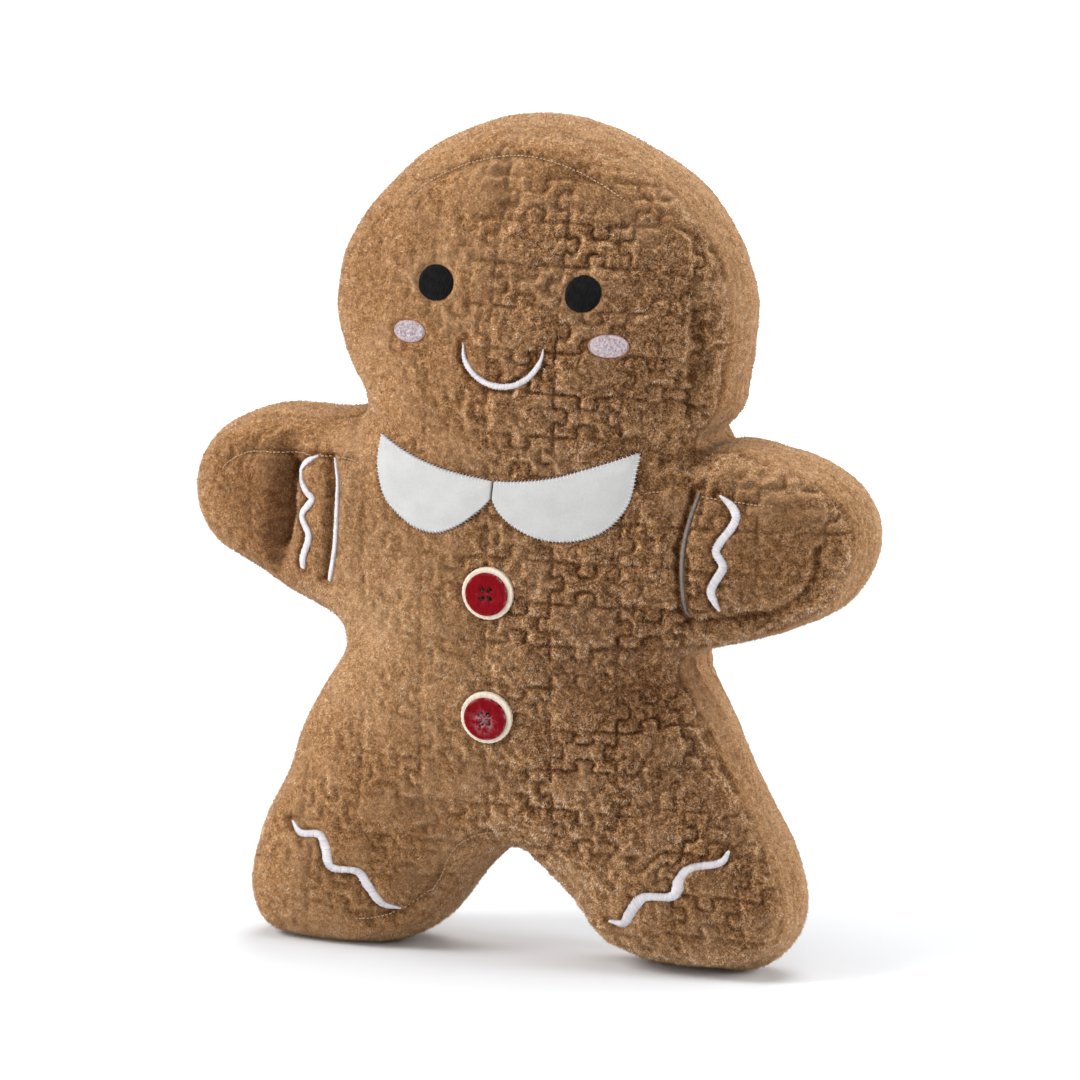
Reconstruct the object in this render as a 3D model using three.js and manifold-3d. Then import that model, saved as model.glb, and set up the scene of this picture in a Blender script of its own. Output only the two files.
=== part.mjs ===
// Stuffed plush gingerbread man, standing on its own feet.
// Millimetres, +Z up, the face looks along -Y, the origin is on the floor under the middle of the toy.
// The toy is two flat panels of the same outline, front and back, sewn to a side strip and stuffed.
import * as THREE from "three";
import { mergeVertices } from "three/addons/utils/BufferGeometryUtils.js";
import Module from "manifold-3d";

// Outline of the panels: every circle is given by its centre and its radius.
const HEAD = { z: 312, halfWidth: 99, halfHeight: 88, power: 1.9 };
const CHEST = { x: 0, z: 165.5, r: 73 };
const BELLY = { x: 0, z: 147.5, r: 77.5 };
const SHOULDER = { x: 82, z: 205, r: 45 };
const HAND = { x: 127, z: 213.5, r: 37.5 };
const HIP = { x: 45, z: 96, r: 56.5 };
const FOOT = { x: 88.5, z: 45.5, r: 42 };
const SOLE_INNER = { x: 70, z: 34, r: 30 };
const SOLE_OUTER = { x: 105, z: 33, r: 29.5 };
const NECK_FILLET = 22;
const ARM_FILLET = 22;
const LEG_FILLET = 18;
const CROTCH_FILLET = 12;
const SOLE_FILLET = 8;

// Depth: the side strip, and the stuffing that domes each panel.
const STRIP_WIDTH = 43.5;
const STRIP_BULGE = 4.5;
const DOME = 0.62;
const HEAD_DOME_EXTRA = 0.27;
const HEAD_DOME_Z = 254;
const HEAD_DOME_BLEND = 9;

// Felt, embroidery and buttons on the front.
const CLEARANCE = 0.6;
const EYE = { x: 37, z: 328.8, rx: 8.5, rz: 8.7, edge: 0.6, crown: 1.2 };
const CHEEK = { x: 49.5, z: 305, rx: 8.8, rz: 5.4, edge: 0.5, crown: 0.8 };
const SMILE = { halfWidth: 20, cornerZ: 300.5, dip: 18, middleHalf: 1.5, endHalf: 0.8, edge: 0.4, crown: 0.6 };
const SATIN = { half: 1.25, edge: 0.4, crown: 0.6 };
const COLLAR = { tipX: 63.5, tipZ: 253, splitTopZ: 236.5, splitBottomZ: 228, halfSplit: 0.4, lift: 1.6, edge: 1.5 };
const BUTTON_X = 0;
const BUTTON_Z = { button_upper: 182.8, button_lower: 123 };
const BUTTON = { r: 12.6, height: 4.2, rim: 2.2, step: 1.2, round: 0.6, holeR: 1.1, holePitch: 3.6, sides: 36, holeSides: 10 };

// Mesh sizes.
const SEAM_STEPS = 92;
const RING_INSETS = [3, 8.5];
const FILL_STEP = 10.6;
const STRIP_ROWS = [-0.55, 0, 0.55];
const PATCH_CELLS = 4;
const COLLAR_CELLS = 12;
const COLLAR_ACROSS = 6;
const GRID_STEP = 4;
const GRID_MARGIN = 8;

const CLOTH = { color: 0xa9794a, roughness: 0.95, metalness: 0 };
const BLACK_THREAD = { color: 0x141416, roughness: 0.6, metalness: 0 };
const PINK_THREAD = { color: 0xe9b9bd, roughness: 0.6, metalness: 0 };
const WHITE_THREAD = { color: 0xefeeea, roughness: 0.5, metalness: 0 };
const FELT = { color: 0xe6e5e2, roughness: 0.95, metalness: 0 };
const RED_WOOD = { color: 0x8c0418, roughness: 0.55, metalness: 0 };

const clamp01 = (t) => Math.min(Math.max(t, 0), 1);
const mix = (a, b, t) => a + (b - a) * t;

// ---- outline ----

// Smooth union of two distances, with a fillet of about the given size.
function join(a, b, fillet) {
  const h = clamp01(0.5 + (0.5 * (b - a)) / fillet);
  return mix(b, a, h) - fillet * h * (1 - h);
}

// Distance to two circles and the straight sides that touch both.
function limb(x, z, a, b) {
  const length = Math.hypot(b.x - a.x, b.z - a.z);
  const ux = (b.x - a.x) / length;
  const uz = (b.z - a.z) / length;
  const side = Math.abs((x - a.x) * uz - (z - a.z) * ux);
  const along = (x - a.x) * ux + (z - a.z) * uz;
  const slope = (a.r - b.r) / length;
  const rise = Math.sqrt(1 - slope * slope);
  const k = along * rise - side * slope;
  if (k < 0) return Math.hypot(side, along) - a.r;
  if (k > rise * length) return Math.hypot(side, along - length) - b.r;
  return side * rise + along * slope - a.r;
}

function head(x, z) {
  const px = Math.abs(x) / HEAD.halfWidth;
  const pz = Math.abs(z - HEAD.z) / HEAD.halfHeight;
  const level = (px ** HEAD.power + pz ** HEAD.power + 1e-9) ** (1 / HEAD.power);
  const gx = px ** (HEAD.power - 1) / HEAD.halfWidth;
  const gz = pz ** (HEAD.power - 1) / HEAD.halfHeight;
  const gradient = Math.hypot(gx, gz) * level ** (1 - HEAD.power);
  return (level - 1) / Math.max(gradient, 1e-3);
}

const mirror = (circle) => ({ ...circle, x: -circle.x });

// One leg, with a foot that is squarer at the bottom than at the ankle.
function leg(x, z, place = (circle) => circle) {
  const sole = limb(x, z, place(SOLE_INNER), place(SOLE_OUTER));
  return join(limb(x, z, place(HIP), place(FOOT)), sole, SOLE_FILLET);
}

// Signed distance to the outline of the panels, below zero inside.
function outline(x, z) {
  const legs = join(leg(x, z), leg(x, z, mirror), CROTCH_FILLET);
  let d = join(limb(x, z, CHEST, BELLY), legs, LEG_FILLET);
  d = join(d, limb(x, z, SHOULDER, HAND), ARM_FILLET);
  d = join(d, limb(x, z, mirror(SHOULDER), mirror(HAND)), ARM_FILLET);
  return join(d, head(x, z), NECK_FILLET);
}

function outlineSlope(x, z) {
  const e = 0.05;
  const gx = (outline(x + e, z) - outline(x - e, z)) / (2 * e);
  const gz = (outline(x, z + e) - outline(x, z - e)) / (2 * e);
  const size = Math.hypot(gx, gz);
  return { nx: gx / size, nz: gz / size, size };
}

// Moves a point along the slope of the outline until its distance is level.
function onLevel(x, z, level) {
  for (let i = 0; i < 6; i++) {
    const { nx, nz, size } = outlineSlope(x, z);
    const step = (outline(x, z) - level) / size;
    x -= nx * step;
    z -= nz * step;
  }
  return [x, z];
}

// The seam: a closed loop, anticlockwise seen from the front, evenly spaced.
function traceSeam(steps) {
  const stride = 1;
  const trail = [[0, HEAD.z + HEAD.halfHeight]];
  let [x, z] = trail[0];
  while (x >= 0) {
    const { nx, nz } = outlineSlope(x, z);
    [x, z] = onLevel(x + nz * stride, z - nx * stride, 0);
    trail.push([x, z]);
  }
  const before = trail[trail.length - 2];
  const after = trail[trail.length - 1];
  const share = before[0] / (before[0] - after[0]);
  trail[trail.length - 1] = [0, mix(before[1], after[1], share)];
  const lengths = [0];
  for (let i = 1; i < trail.length; i++) {
    const gap = Math.hypot(trail[i][0] - trail[i - 1][0], trail[i][1] - trail[i - 1][1]);
    lengths.push(lengths[i - 1] + gap);
  }
  const half = [];
  let at = 0;
  for (let i = 0; i <= steps; i++) {
    const wanted = (lengths[lengths.length - 1] * i) / steps;
    while (at < lengths.length - 2 && lengths[at + 1] < wanted) at++;
    const t = (wanted - lengths[at]) / (lengths[at + 1] - lengths[at]);
    half.push([mix(trail[at][0], trail[at + 1][0], t), mix(trail[at][1], trail[at + 1][1], t)]);
  }
  const left = half.map(([px, pz]) => [-px, pz]);
  return [...left, ...half.slice(1, -1).reverse()];
}

// ---- stuffing ----

// Height of a stretched skin over the outline, solved on a grid: it is highest where the panel is widest.
function inflate() {
  const halfSpan = HAND.x + HAND.r + GRID_MARGIN;
  const columns = 2 * Math.ceil(halfSpan / GRID_STEP) + 1;
  const rows = Math.ceil((HEAD.z + HEAD.halfHeight + 2 * GRID_MARGIN) / GRID_STEP) + 1;
  const x0 = -GRID_STEP * ((columns - 1) / 2);
  const z0 = -GRID_MARGIN;
  const distance = new Float64Array(columns * rows);
  for (let i = 0; i < columns; i++)
    for (let j = 0; j < rows; j++) distance[i * rows + j] = outline(x0 + i * GRID_STEP, z0 + j * GRID_STEP);
  const cells = [];
  for (let i = 1; i < columns - 1; i++)
    for (let j = 1; j < rows - 1; j++) {
      const k = i * rows + j;
      if (distance[k] >= 0) continue;
      const near = [k - rows, k + rows, k - 1, k + 1];
      const gap = near.map((n) => {
        const share = distance[n] < 0 ? 1 : distance[k] / (distance[k] - distance[n]);
        return GRID_STEP * Math.max(share, 0.05);
      });
      const spanX = gap[0] + gap[1];
      const spanZ = gap[2] + gap[3];
      const weight = gap.map((g, n) => 2 / (g * (n < 2 ? spanX : spanZ)));
      cells.push({ k, near, weight, total: weight.reduce((a, b) => a + b) });
    }
  const skin = new Float64Array(columns * rows);
  const sweeps = 320;
  const relax = 1.93;
  for (let sweep = 0; sweep < sweeps; sweep++)
    for (const { k, near, weight, total } of cells) {
      let sum = 1;
      for (let n = 0; n < 4; n++) if (distance[near[n]] < 0) sum += weight[n] * skin[near[n]];
      skin[k] += relax * (sum / total - skin[k]);
    }
  // Close to the seam the skin rises in proportion to the distance from it.
  const ratio = new Float64Array(columns * rows);
  const known = distance.map((d) => (d < -0.4 * GRID_STEP ? 1 : 0));
  for (let k = 0; k < ratio.length; k++) if (known[k]) ratio[k] = skin[k] / -distance[k];
  for (let pass = 0; pass < 3; pass++) {
    const was = known.slice();
    for (let i = 1; i < columns - 1; i++)
      for (let j = 1; j < rows - 1; j++) {
        const k = i * rows + j;
        if (was[k]) continue;
        const near = [k - rows, k + rows, k - 1, k + 1].filter((n) => was[n]);
        if (!near.length) continue;
        ratio[k] = near.reduce((sum, n) => sum + ratio[n], 0) / near.length;
        known[k] = 1;
      }
  }
  const sample = (field, x, z) => {
    const u = (x - x0) / GRID_STEP;
    const v = (z - z0) / GRID_STEP;
    const i = Math.floor(u);
    const j = Math.floor(v);
    const k = i * rows + j;
    return mix(mix(field[k], field[k + 1], v - j), mix(field[k + rows], field[k + rows + 1], v - j), u - i);
  };
  return (x, z) => {
    const inset = -outline(x, z);
    if (inset <= 0) return 0;
    const deep = THREE.MathUtils.smoothstep(inset, 2 * GRID_STEP, 4 * GRID_STEP);
    return Math.max(mix(sample(ratio, x, z) * inset, sample(skin, x, z), deep), 0);
  };
}

const skinHeight = inflate();

// Distance of the panel from the middle plane.
function halfDepth(x, z) {
  const inHead = 1 / (1 + Math.exp(-(z - HEAD_DOME_Z) / HEAD_DOME_BLEND));
  return STRIP_WIDTH / 2 + DOME * (1 + HEAD_DOME_EXTRA * inHead) * Math.sqrt(skinHeight(x, z));
}

function frontNormal(x, z) {
  const e = 1.5;
  const sx = (halfDepth(x + e, z) - halfDepth(x - e, z)) / (2 * e);
  const sz = (halfDepth(x, z + e) - halfDepth(x, z - e)) / (2 * e);
  return new THREE.Vector3(-sx, -1, -sz).normalize();
}

function onFront(x, z, lift) {
  return new THREE.Vector3(x, -halfDepth(x, z), z).addScaledVector(frontNormal(x, z), lift);
}

// ---- meshes ----

class Surface {
  points = [];
  faces = [];

  add(point) {
    this.points.push(point);
    return this.points.length - 1;
  }

  quad(a, b, c, d) {
    this.faces.push(a, b, c, a, c, d);
  }

  // Two loops of the same count, joined by quads.
  band(from, to) {
    from.forEach((a, i) => {
      const next = (i + 1) % from.length;
      this.quad(a, from[next], to[next], to[i]);
    });
  }

  geometry() {
    const made = new THREE.BufferGeometry().setFromPoints(this.points);
    made.setIndex(this.faces);
    made.computeVertexNormals();
    return made;
  }
}

// Triangles over scattered points, so that no point lies in another triangle's circle.
// Each point is moved a hair first, because a toy of two equal halves puts many points on one circle.
function triangulate(points) {
  const far = 1e4;
  const hair = 1e-3;
  const moved = points.map(([x, z], i) => [x + hair * Math.sin(12.9 * i), z + hair * Math.sin(78.2 * i)]);
  const all = [...moved, [-far, -far], [far, -far], [0, far]];
  const count = points.length;
  const circled = (a, b, c) => {
    const [ax, ay] = all[a];
    const [bx, by] = all[b];
    const [cx, cy] = all[c];
    const d = 2 * (ax * (by - cy) + bx * (cy - ay) + cx * (ay - by));
    const sa = ax * ax + ay * ay;
    const sb = bx * bx + by * by;
    const sc = cx * cx + cy * cy;
    const x = (sa * (by - cy) + sb * (cy - ay) + sc * (ay - by)) / d;
    const y = (sa * (cx - bx) + sb * (ax - cx) + sc * (bx - ax)) / d;
    return { a, b, c, x, y, rr: (ax - x) ** 2 + (ay - y) ** 2 };
  };
  let triangles = [circled(count, count + 1, count + 2)];
  for (let p = 0; p < count; p++) {
    const [px, py] = all[p];
    const edges = new Map();
    const kept = [];
    for (const t of triangles) {
      if ((px - t.x) ** 2 + (py - t.y) ** 2 >= t.rr) {
        kept.push(t);
        continue;
      }
      for (const [from, to] of [[t.a, t.b], [t.b, t.c], [t.c, t.a]]) {
        const back = to + "," + from;
        if (!edges.delete(back)) edges.set(from + "," + to, [from, to]);
      }
    }
    for (const [from, to] of edges.values()) kept.push(circled(from, to, p));
    triangles = kept;
  }
  return triangles.filter((t) => Math.max(t.a, t.b, t.c) < count);
}

function insideLoop(loop, x, z) {
  let inside = false;
  loop.forEach(([ax, az], i) => {
    const [bx, bz] = loop[(i + 1) % loop.length];
    if (az > z !== bz > z && x < ax + ((bx - ax) * (z - az)) / (bz - az)) inside = !inside;
  });
  return inside;
}

// Evenly scattered points inside a loop, clear of the loop itself.
function fillPoints(level) {
  const points = [];
  const rowStep = (FILL_STEP * Math.sqrt(3)) / 2;
  const rows = Math.ceil((HEAD.z + HEAD.halfHeight) / rowStep);
  const columns = Math.ceil((HAND.x + HAND.r) / FILL_STEP);
  for (let j = 0; j <= rows; j++)
    for (let i = -columns; i <= columns; i++) {
      const x = (i + (j % 2) / 2) * FILL_STEP;
      const z = j * rowStep;
      if (outline(x, z) < level - 0.6 * FILL_STEP) points.push([x, z]);
    }
  return points;
}

function plushBody() {
  const surface = new Surface();
  const seam = traceSeam(SEAM_STEPS);
  const normals = seam.map(([x, z]) => outlineSlope(x, z));
  const insets = RING_INSETS.map((inset) =>
    seam.map(([x, z], i) => [x - normals[i].nx * inset, z - normals[i].nz * inset]),
  );
  const innermost = insets[insets.length - 1];
  const fill = fillPoints(-RING_INSETS[RING_INSETS.length - 1]);
  const flat = [...innermost, ...fill];
  const triangles = triangulate(flat).filter(({ a, b, c }) => {
    const x = (flat[a][0] + flat[b][0] + flat[c][0]) / 3;
    const z = (flat[a][1] + flat[b][1] + flat[c][1]) / 3;
    return insideLoop(innermost, x, z);
  });
  // The soles are pressed flat by the floor.
  const put = (x, y, z) => surface.add(new THREE.Vector3(x, y, Math.max(z, 0)));
  const panel = (side) => {
    const lay = ([x, z]) => put(x, side * halfDepth(x, z), z);
    const edge = seam.map(([x, z]) => put(x, (side * STRIP_WIDTH) / 2, z));
    const rings = insets.map((ring) => ring.map(lay));
    const loops = [edge, ...rings];
    const inner = [...rings[rings.length - 1], ...fill.map(lay)];
    for (let i = 1; i < loops.length; i++)
      side < 0 ? surface.band(loops[i - 1], loops[i]) : surface.band(loops[i], loops[i - 1]);
    for (const { a, b, c } of triangles)
      side < 0 ? surface.faces.push(inner[a], inner[b], inner[c]) : surface.faces.push(inner[a], inner[c], inner[b]);
    return edge;
  };
  const front = panel(-1);
  const back = panel(1);
  const strip = STRIP_ROWS.map((row) =>
    seam.map(([x, z], i) => {
      const bulge = STRIP_BULGE * (1 - row * row);
      return put(x + normals[i].nx * bulge, (row * STRIP_WIDTH) / 2, z + normals[i].nz * bulge);
    }),
  );
  const rows = [front, ...strip, back];
  for (let i = 1; i < rows.length; i++) surface.band(rows[i], rows[i - 1]);
  return surface.geometry();
}

// A thin pad that follows the front: a grid of places on it, with a crown across the second index.
function pad(grid, edge, crown, lift = CLEARANCE) {
  const surface = new Surface();
  const across = grid[0].length - 1;
  const along = grid.length - 1;
  const dome = (i, j) => crown * (1 - ((2 * j) / across - 1) ** 2) * Math.min(1, 4 * (i / along) * (1 - i / along) + 0.3);
  const top = grid.map((row, i) =>
    row.map(([x, z], j) => surface.add(onFront(x, z, lift + edge + dome(i, j)))),
  );
  const bottom = grid.map((row) => row.map(([x, z]) => surface.add(onFront(x, z, lift))));
  for (let i = 0; i < along; i++)
    for (let j = 0; j < across; j++) {
      surface.quad(top[i][j], top[i + 1][j], top[i + 1][j + 1], top[i][j + 1]);
      surface.quad(bottom[i][j], bottom[i][j + 1], bottom[i + 1][j + 1], bottom[i + 1][j]);
    }
  for (let i = 0; i < along; i++) {
    surface.quad(top[i][0], bottom[i][0], bottom[i + 1][0], top[i + 1][0]);
    surface.quad(top[i + 1][across], bottom[i + 1][across], bottom[i][across], top[i][across]);
  }
  for (let j = 0; j < across; j++) {
    surface.quad(top[0][j + 1], bottom[0][j + 1], bottom[0][j], top[0][j]);
    surface.quad(top[along][j], bottom[along][j], bottom[along][j + 1], top[along][j + 1]);
  }
  return surface.geometry();
}

// An ellipse as a grid: the square's sides are bent onto the rim.
function ellipseGrid(cx, cz, rx, rz, cells) {
  const grid = [];
  for (let i = 0; i <= cells; i++) {
    const u = (2 * i) / cells - 1;
    const row = [];
    for (let j = 0; j <= cells; j++) {
      const v = (2 * j) / cells - 1;
      row.push([cx + rx * u * Math.sqrt(1 - (v * v) / 2), cz + rz * v * Math.sqrt(1 - (u * u) / 2)]);
    }
    grid.push(row);
  }
  return grid;
}

// A ribbon along a flat curve, left side to right side, its half width given along the curve.
function ribbonGrid(curve, steps, halfWidthAt) {
  const grid = [];
  for (let i = 0; i <= steps; i++) {
    const t = i / steps;
    const { x, y: z } = curve.getPoint(t);
    const { x: tx, y: tz } = curve.getTangent(t);
    const half = halfWidthAt(t);
    grid.push([-1, 0, 1].map((side) => [x - side * tz * half, z + side * tx * half]));
  }
  return grid;
}

const flatCurve = (points) => new THREE.SplineCurve(points.map(([x, z]) => new THREE.Vector2(x, z)));
const flipped = (points) => points.map(([x, z]) => [-x, z]).reverse();

function smileGeometry() {
  const middle = SMILE.cornerZ - SMILE.dip;
  const curve = new THREE.CubicBezierCurve(
    new THREE.Vector2(-SMILE.halfWidth, SMILE.cornerZ),
    new THREE.Vector2(-0.85 * SMILE.halfWidth, mix(middle, SMILE.cornerZ, -1 / 3)),
    new THREE.Vector2(0.85 * SMILE.halfWidth, mix(middle, SMILE.cornerZ, -1 / 3)),
    new THREE.Vector2(SMILE.halfWidth, SMILE.cornerZ),
  );
  const grid = ribbonGrid(curve, 16, (t) => mix(SMILE.endHalf, SMILE.middleHalf, Math.sin(Math.PI * t)));
  return pad(grid, SMILE.edge, SMILE.crown);
}

// One lobe of the collar: from the split in the middle out to the tip on the shoulder.
function collarGrid(side) {
  const { tipX, tipZ, splitTopZ, splitBottomZ, halfSplit } = COLLAR;
  const upper = flatCurve([[halfSplit, splitTopZ], [18, 238.5], [36, 242.5], [51, 247.5], [tipX - 2, tipZ]]);
  const lower = flatCurve([[halfSplit, splitBottomZ], [8, 218.5], [20, 211.5], [36, 209.8], [50, 214.5], [59, 223], [tipX, 238], [tipX + 0.5, tipZ - 2.5]]);
  const grid = [];
  for (let i = 0; i <= COLLAR_CELLS; i++) {
    const from = lower.getPoint(i / COLLAR_CELLS);
    const to = upper.getPoint(i / COLLAR_CELLS);
    const row = [];
    for (let j = 0; j <= COLLAR_ACROSS; j++) {
      const t = j / COLLAR_ACROSS;
      row.push([side * mix(from.x, to.x, t), mix(from.y, to.y, t)]);
    }
    grid.push(row);
  }
  return side > 0 ? grid : grid.reverse();
}

// Satin stitched lines of the right side; the left ones are their mirror images.
const SLEEVE_LINE = [[92, 237], [89, 226], [87, 214], [86.5, 200], [87.5, 188], [89.5, 178]];
const SLEEVE_WAVE = [
  [101, 236.5], [108, 231.5], [110.5, 227], [107.5, 221.5], [102, 215.5], [101.5, 209], [105.5, 204], [105.5, 199.5],
  [101, 193.5], [100, 188.5], [103, 182.5],
];
const LEG_WAVE = [
  [109.5, 61.5], [104.5, 57.5], [93.5, 56.5], [88.5, 50.5], [85.5, 41], [73, 39.2], [66.5, 32.5], [61, 24.5], [53, 22.5],
];

function satinGeometry(points, steps) {
  return pad(ribbonGrid(flatCurve(points), steps, () => SATIN.half), SATIN.edge, SATIN.crown);
}

// ---- buttons ----

const wasm = await Module();
wasm.setup();

function toSolid(geometry) {
  const bare = geometry.clone();
  bare.deleteAttribute("normal");
  bare.deleteAttribute("uv");
  const merged = mergeVertices(bare, 1e-4);
  const mesh = { numProp: 3, vertProperties: merged.attributes.position.array };
  return new wasm.Manifold(new wasm.Mesh({ ...mesh, triVerts: new Uint32Array(merged.index.array) }));
}

function toGeometry(solid) {
  const mesh = solid.getMesh();
  const made = new THREE.BufferGeometry();
  made.setAttribute("position", new THREE.BufferAttribute(mesh.vertProperties, 3));
  made.setIndex(new THREE.BufferAttribute(mesh.triVerts, 1));
  made.computeVertexNormals();
  return made;
}

// A turned wooden button: a low bare rim, a raised stained face and four sewing holes.
// Its back lies at y = 0 and its face looks up +Y.
function buttonGeometry() {
  const { r, height, rim, step, round, holeR, holePitch, sides, holeSides } = BUTTON;
  const rimHeight = height - step;
  const faceR = r - rim;
  const profile = [
    [0, 0], [r - round, 0], [r, round], [r, rimHeight - round], [r - round, rimHeight], [faceR, rimHeight],
    [faceR, height - round], [faceR - round, height], [0, height],
  ].map(([x, y]) => new THREE.Vector2(x, y));
  let solid = toSolid(new THREE.LatheGeometry(profile, sides));
  for (const sx of [-1, 1])
    for (const sz of [-1, 1]) {
      const drill = new THREE.CylinderGeometry(holeR, holeR, 3 * height, holeSides);
      drill.translate((sx * holePitch) / 2, 0, (sz * holePitch) / 2);
      solid = solid.subtract(toSolid(drill));
    }
  return toGeometry(solid);
}

// ---- the toy ----

const figure = new THREE.Group();

function addPiece(name, geometry, finish) {
  const mesh = new THREE.Mesh(geometry, new THREE.MeshStandardMaterial(finish));
  mesh.name = name;
  figure.add(mesh);
  return mesh;
}

addPiece("plush_body", plushBody(), CLOTH);

for (const [hand, side] of [["left", -1], ["right", 1]]) {
  const sideLine = (points) => (side > 0 ? points : flipped(points));
  const eye = ellipseGrid(side * EYE.x, EYE.z, EYE.rx, EYE.rz, PATCH_CELLS);
  const cheek = ellipseGrid(side * CHEEK.x, CHEEK.z, CHEEK.rx, CHEEK.rz, PATCH_CELLS);
  addPiece("eye_" + hand, pad(eye, EYE.edge, EYE.crown), BLACK_THREAD);
  addPiece("cheek_" + hand, pad(cheek, CHEEK.edge, CHEEK.crown), PINK_THREAD);
  addPiece("collar_" + hand, pad(collarGrid(side), COLLAR.edge, 0, COLLAR.lift), FELT);
  addPiece("sleeve_line_" + hand, satinGeometry(sideLine(SLEEVE_LINE), 10), WHITE_THREAD);
  addPiece("sleeve_wave_" + hand, satinGeometry(sideLine(SLEEVE_WAVE), 20), WHITE_THREAD);
  addPiece("leg_wave_" + hand, satinGeometry(sideLine(LEG_WAVE), 18), WHITE_THREAD);
}
addPiece("smile", smileGeometry(), WHITE_THREAD);

for (const [name, z] of Object.entries(BUTTON_Z)) {
  const button = addPiece(name, buttonGeometry(), RED_WOOD);
  button.position.copy(onFront(BUTTON_X, z, CLEARANCE));
  button.quaternion.setFromUnitVectors(new THREE.Vector3(0, 1, 0), frontNormal(BUTTON_X, z));
}

// The trim stands a little in front of the cloth, so the figure moves back until its depth is centred.
const depth = new THREE.Box3().setFromObject(figure);
figure.position.y = -(depth.min.y + depth.max.y) / 2;

const toy = new THREE.Group();
toy.add(figure);

export default toy;
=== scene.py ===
import math
import bpy
import numpy as np
from mathutils import Matrix, Vector
from mathutils.bvhtree import BVHTree
from mathutils.geometry import delaunay_2d_cdt


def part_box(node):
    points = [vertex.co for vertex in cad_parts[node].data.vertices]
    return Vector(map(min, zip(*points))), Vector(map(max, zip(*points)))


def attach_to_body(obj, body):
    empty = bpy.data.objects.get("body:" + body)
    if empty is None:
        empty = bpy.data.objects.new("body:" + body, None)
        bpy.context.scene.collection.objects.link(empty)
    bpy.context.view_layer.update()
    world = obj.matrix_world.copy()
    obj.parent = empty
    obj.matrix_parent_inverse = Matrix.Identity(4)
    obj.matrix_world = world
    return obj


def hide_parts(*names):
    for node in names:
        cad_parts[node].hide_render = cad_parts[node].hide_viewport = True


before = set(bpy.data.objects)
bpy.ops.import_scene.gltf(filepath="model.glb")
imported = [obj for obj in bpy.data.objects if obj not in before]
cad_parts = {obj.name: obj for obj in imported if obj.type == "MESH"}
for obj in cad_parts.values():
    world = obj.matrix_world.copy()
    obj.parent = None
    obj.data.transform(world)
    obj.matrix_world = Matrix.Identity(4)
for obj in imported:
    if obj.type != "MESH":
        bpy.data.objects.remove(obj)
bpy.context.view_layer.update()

scene = bpy.context.scene
mm = 0.001  # sizes below are in mm, meshes are in metres
bodyLow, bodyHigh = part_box("plush_body")
depthShift = (bodyLow[1] + bodyHigh[1]) / 2 / mm  # the trim in front pushes the cloth back a hair

# the front and back panels are cut to one outline: circles by centre and radius
panelShape = {
    "head": {"x": 3.0, "z": 312, "halfWidth": 99, "halfHeight": 88, "power": 1.9},
    "chest": {"x": 0, "z": 165.5, "r": 73},
    "belly": {"x": 0, "z": 147.5, "r": 77.5},
    "shoulder": {"x": 82, "z": 205, "r": 45},
    "hand": {"x": 127, "z": 213.5, "r": 37.5},
    "hip": {"x": 45, "z": 96, "r": 56.5},
    "foot": {"x": 88.5, "z": 45.5, "r": 42},
    "soleInner": {"x": 70, "z": 34, "r": 30},
    "soleOuter": {"x": 105, "z": 33, "r": 29.5},
    "neckFillet": 22, "armFillet": 22, "legFillet": 18, "crotchFillet": 12, "soleFillet": 8,
}
# the toy sits a little unevenly, so its outline is pulled: x, z, by x, by z, and how far the pull reaches
pulls = [
    (-112, 222, 0, 3.8, 48), (128, 205, 1.2, -3.6, 48),  # left arm, right arm
    (-137, 181, 1.8, 4.2, 24), (-141, 248, 1.2, -1.8, 20), (-84, 261, 0, 4.4, 14),  # left hand and shoulder
    (144, 250, -0.3, -1.8, 20), (164, 222, 1.4, 0, 16),  # right hand
    (150, 186, -0.4, -0.2, 18), (126, 168, 0, -0.8, 22),  # under the right arm
    (106, 257, 0, 3.4, 13), (89, 260, -4.2, -1.4, 5.5), (99, 257, 0, 2.4, 7),  # right shoulder and neck
    (-118, 172, 0, -1.2, 22), (80, 152, -1.8, 0, 13),  # under the arms
    (-91, 140, -3.6, 0, 26), (-106, 104, -2.0, 0.3, 20),  # waist
    (-122, 75, 5.0, 0, 32), (-134, 40, 3.2, 0, 20), (-124, 6, -2.6, -1.5, 13),  # left leg, outside
    (-42, 27, 2.8, 0, 22), (0, 72, 1.6, -2.0, 14),  # between the legs
    (-36, 27, 3.0, -2.4, 15), (14, 50, 1.0, 0.6, 12),
    (32, 27, -2.6, -0.6, 16), (128, 32, 2.3, 0, 34),  # right foot
    (93, 268, 7.0, 0, 14), (-88, 270, 2.2, 0, 20), (104, 308, -1.9, 0, 26),  # jaws and right cheek
    (-5, 400, 0, 1.3, 26), (56, 393, -0.7, -1.2, 26), (-72, 368, 1.3, -1.3, 24),  # crown
]
stuffing = {
    "stripWidth": 43.5, "stripBulge": 4.5, "dome": 0.62,
    "headExtra": 0.27, "headFromZ": 254, "headBlend": 9,
    "gridStep": 4.0, "sweeps": 340, "relax": 1.93,
    "steepest": 1.6, "clothLevel": 180,  # the pattern is laid out from this height
}


def blend(a, b, t):
    return a + (b - a) * t


def easeStep(x, low, high):
    t = np.clip((x - low) / (high - low), 0, 1)
    return t * t * (3 - 2 * t)


def bell(x, width):
    return np.exp(-(x / width) ** 2)


def spots(x, z, rows):
    # a soft spot at each row's place: x, z, reach and strength
    return sum(by * bell(np.hypot(x - atX, z - atZ), reach) for atX, atZ, reach, by in rows)


def unit(rows):
    return rows / np.maximum(np.linalg.norm(rows, axis=1), 1e-6)[:, None]


def runAlong(line):
    # how far along a line each of its points lies
    return np.concatenate([[0], np.cumsum(np.hypot(*np.diff(line, axis=0).T))])


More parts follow.
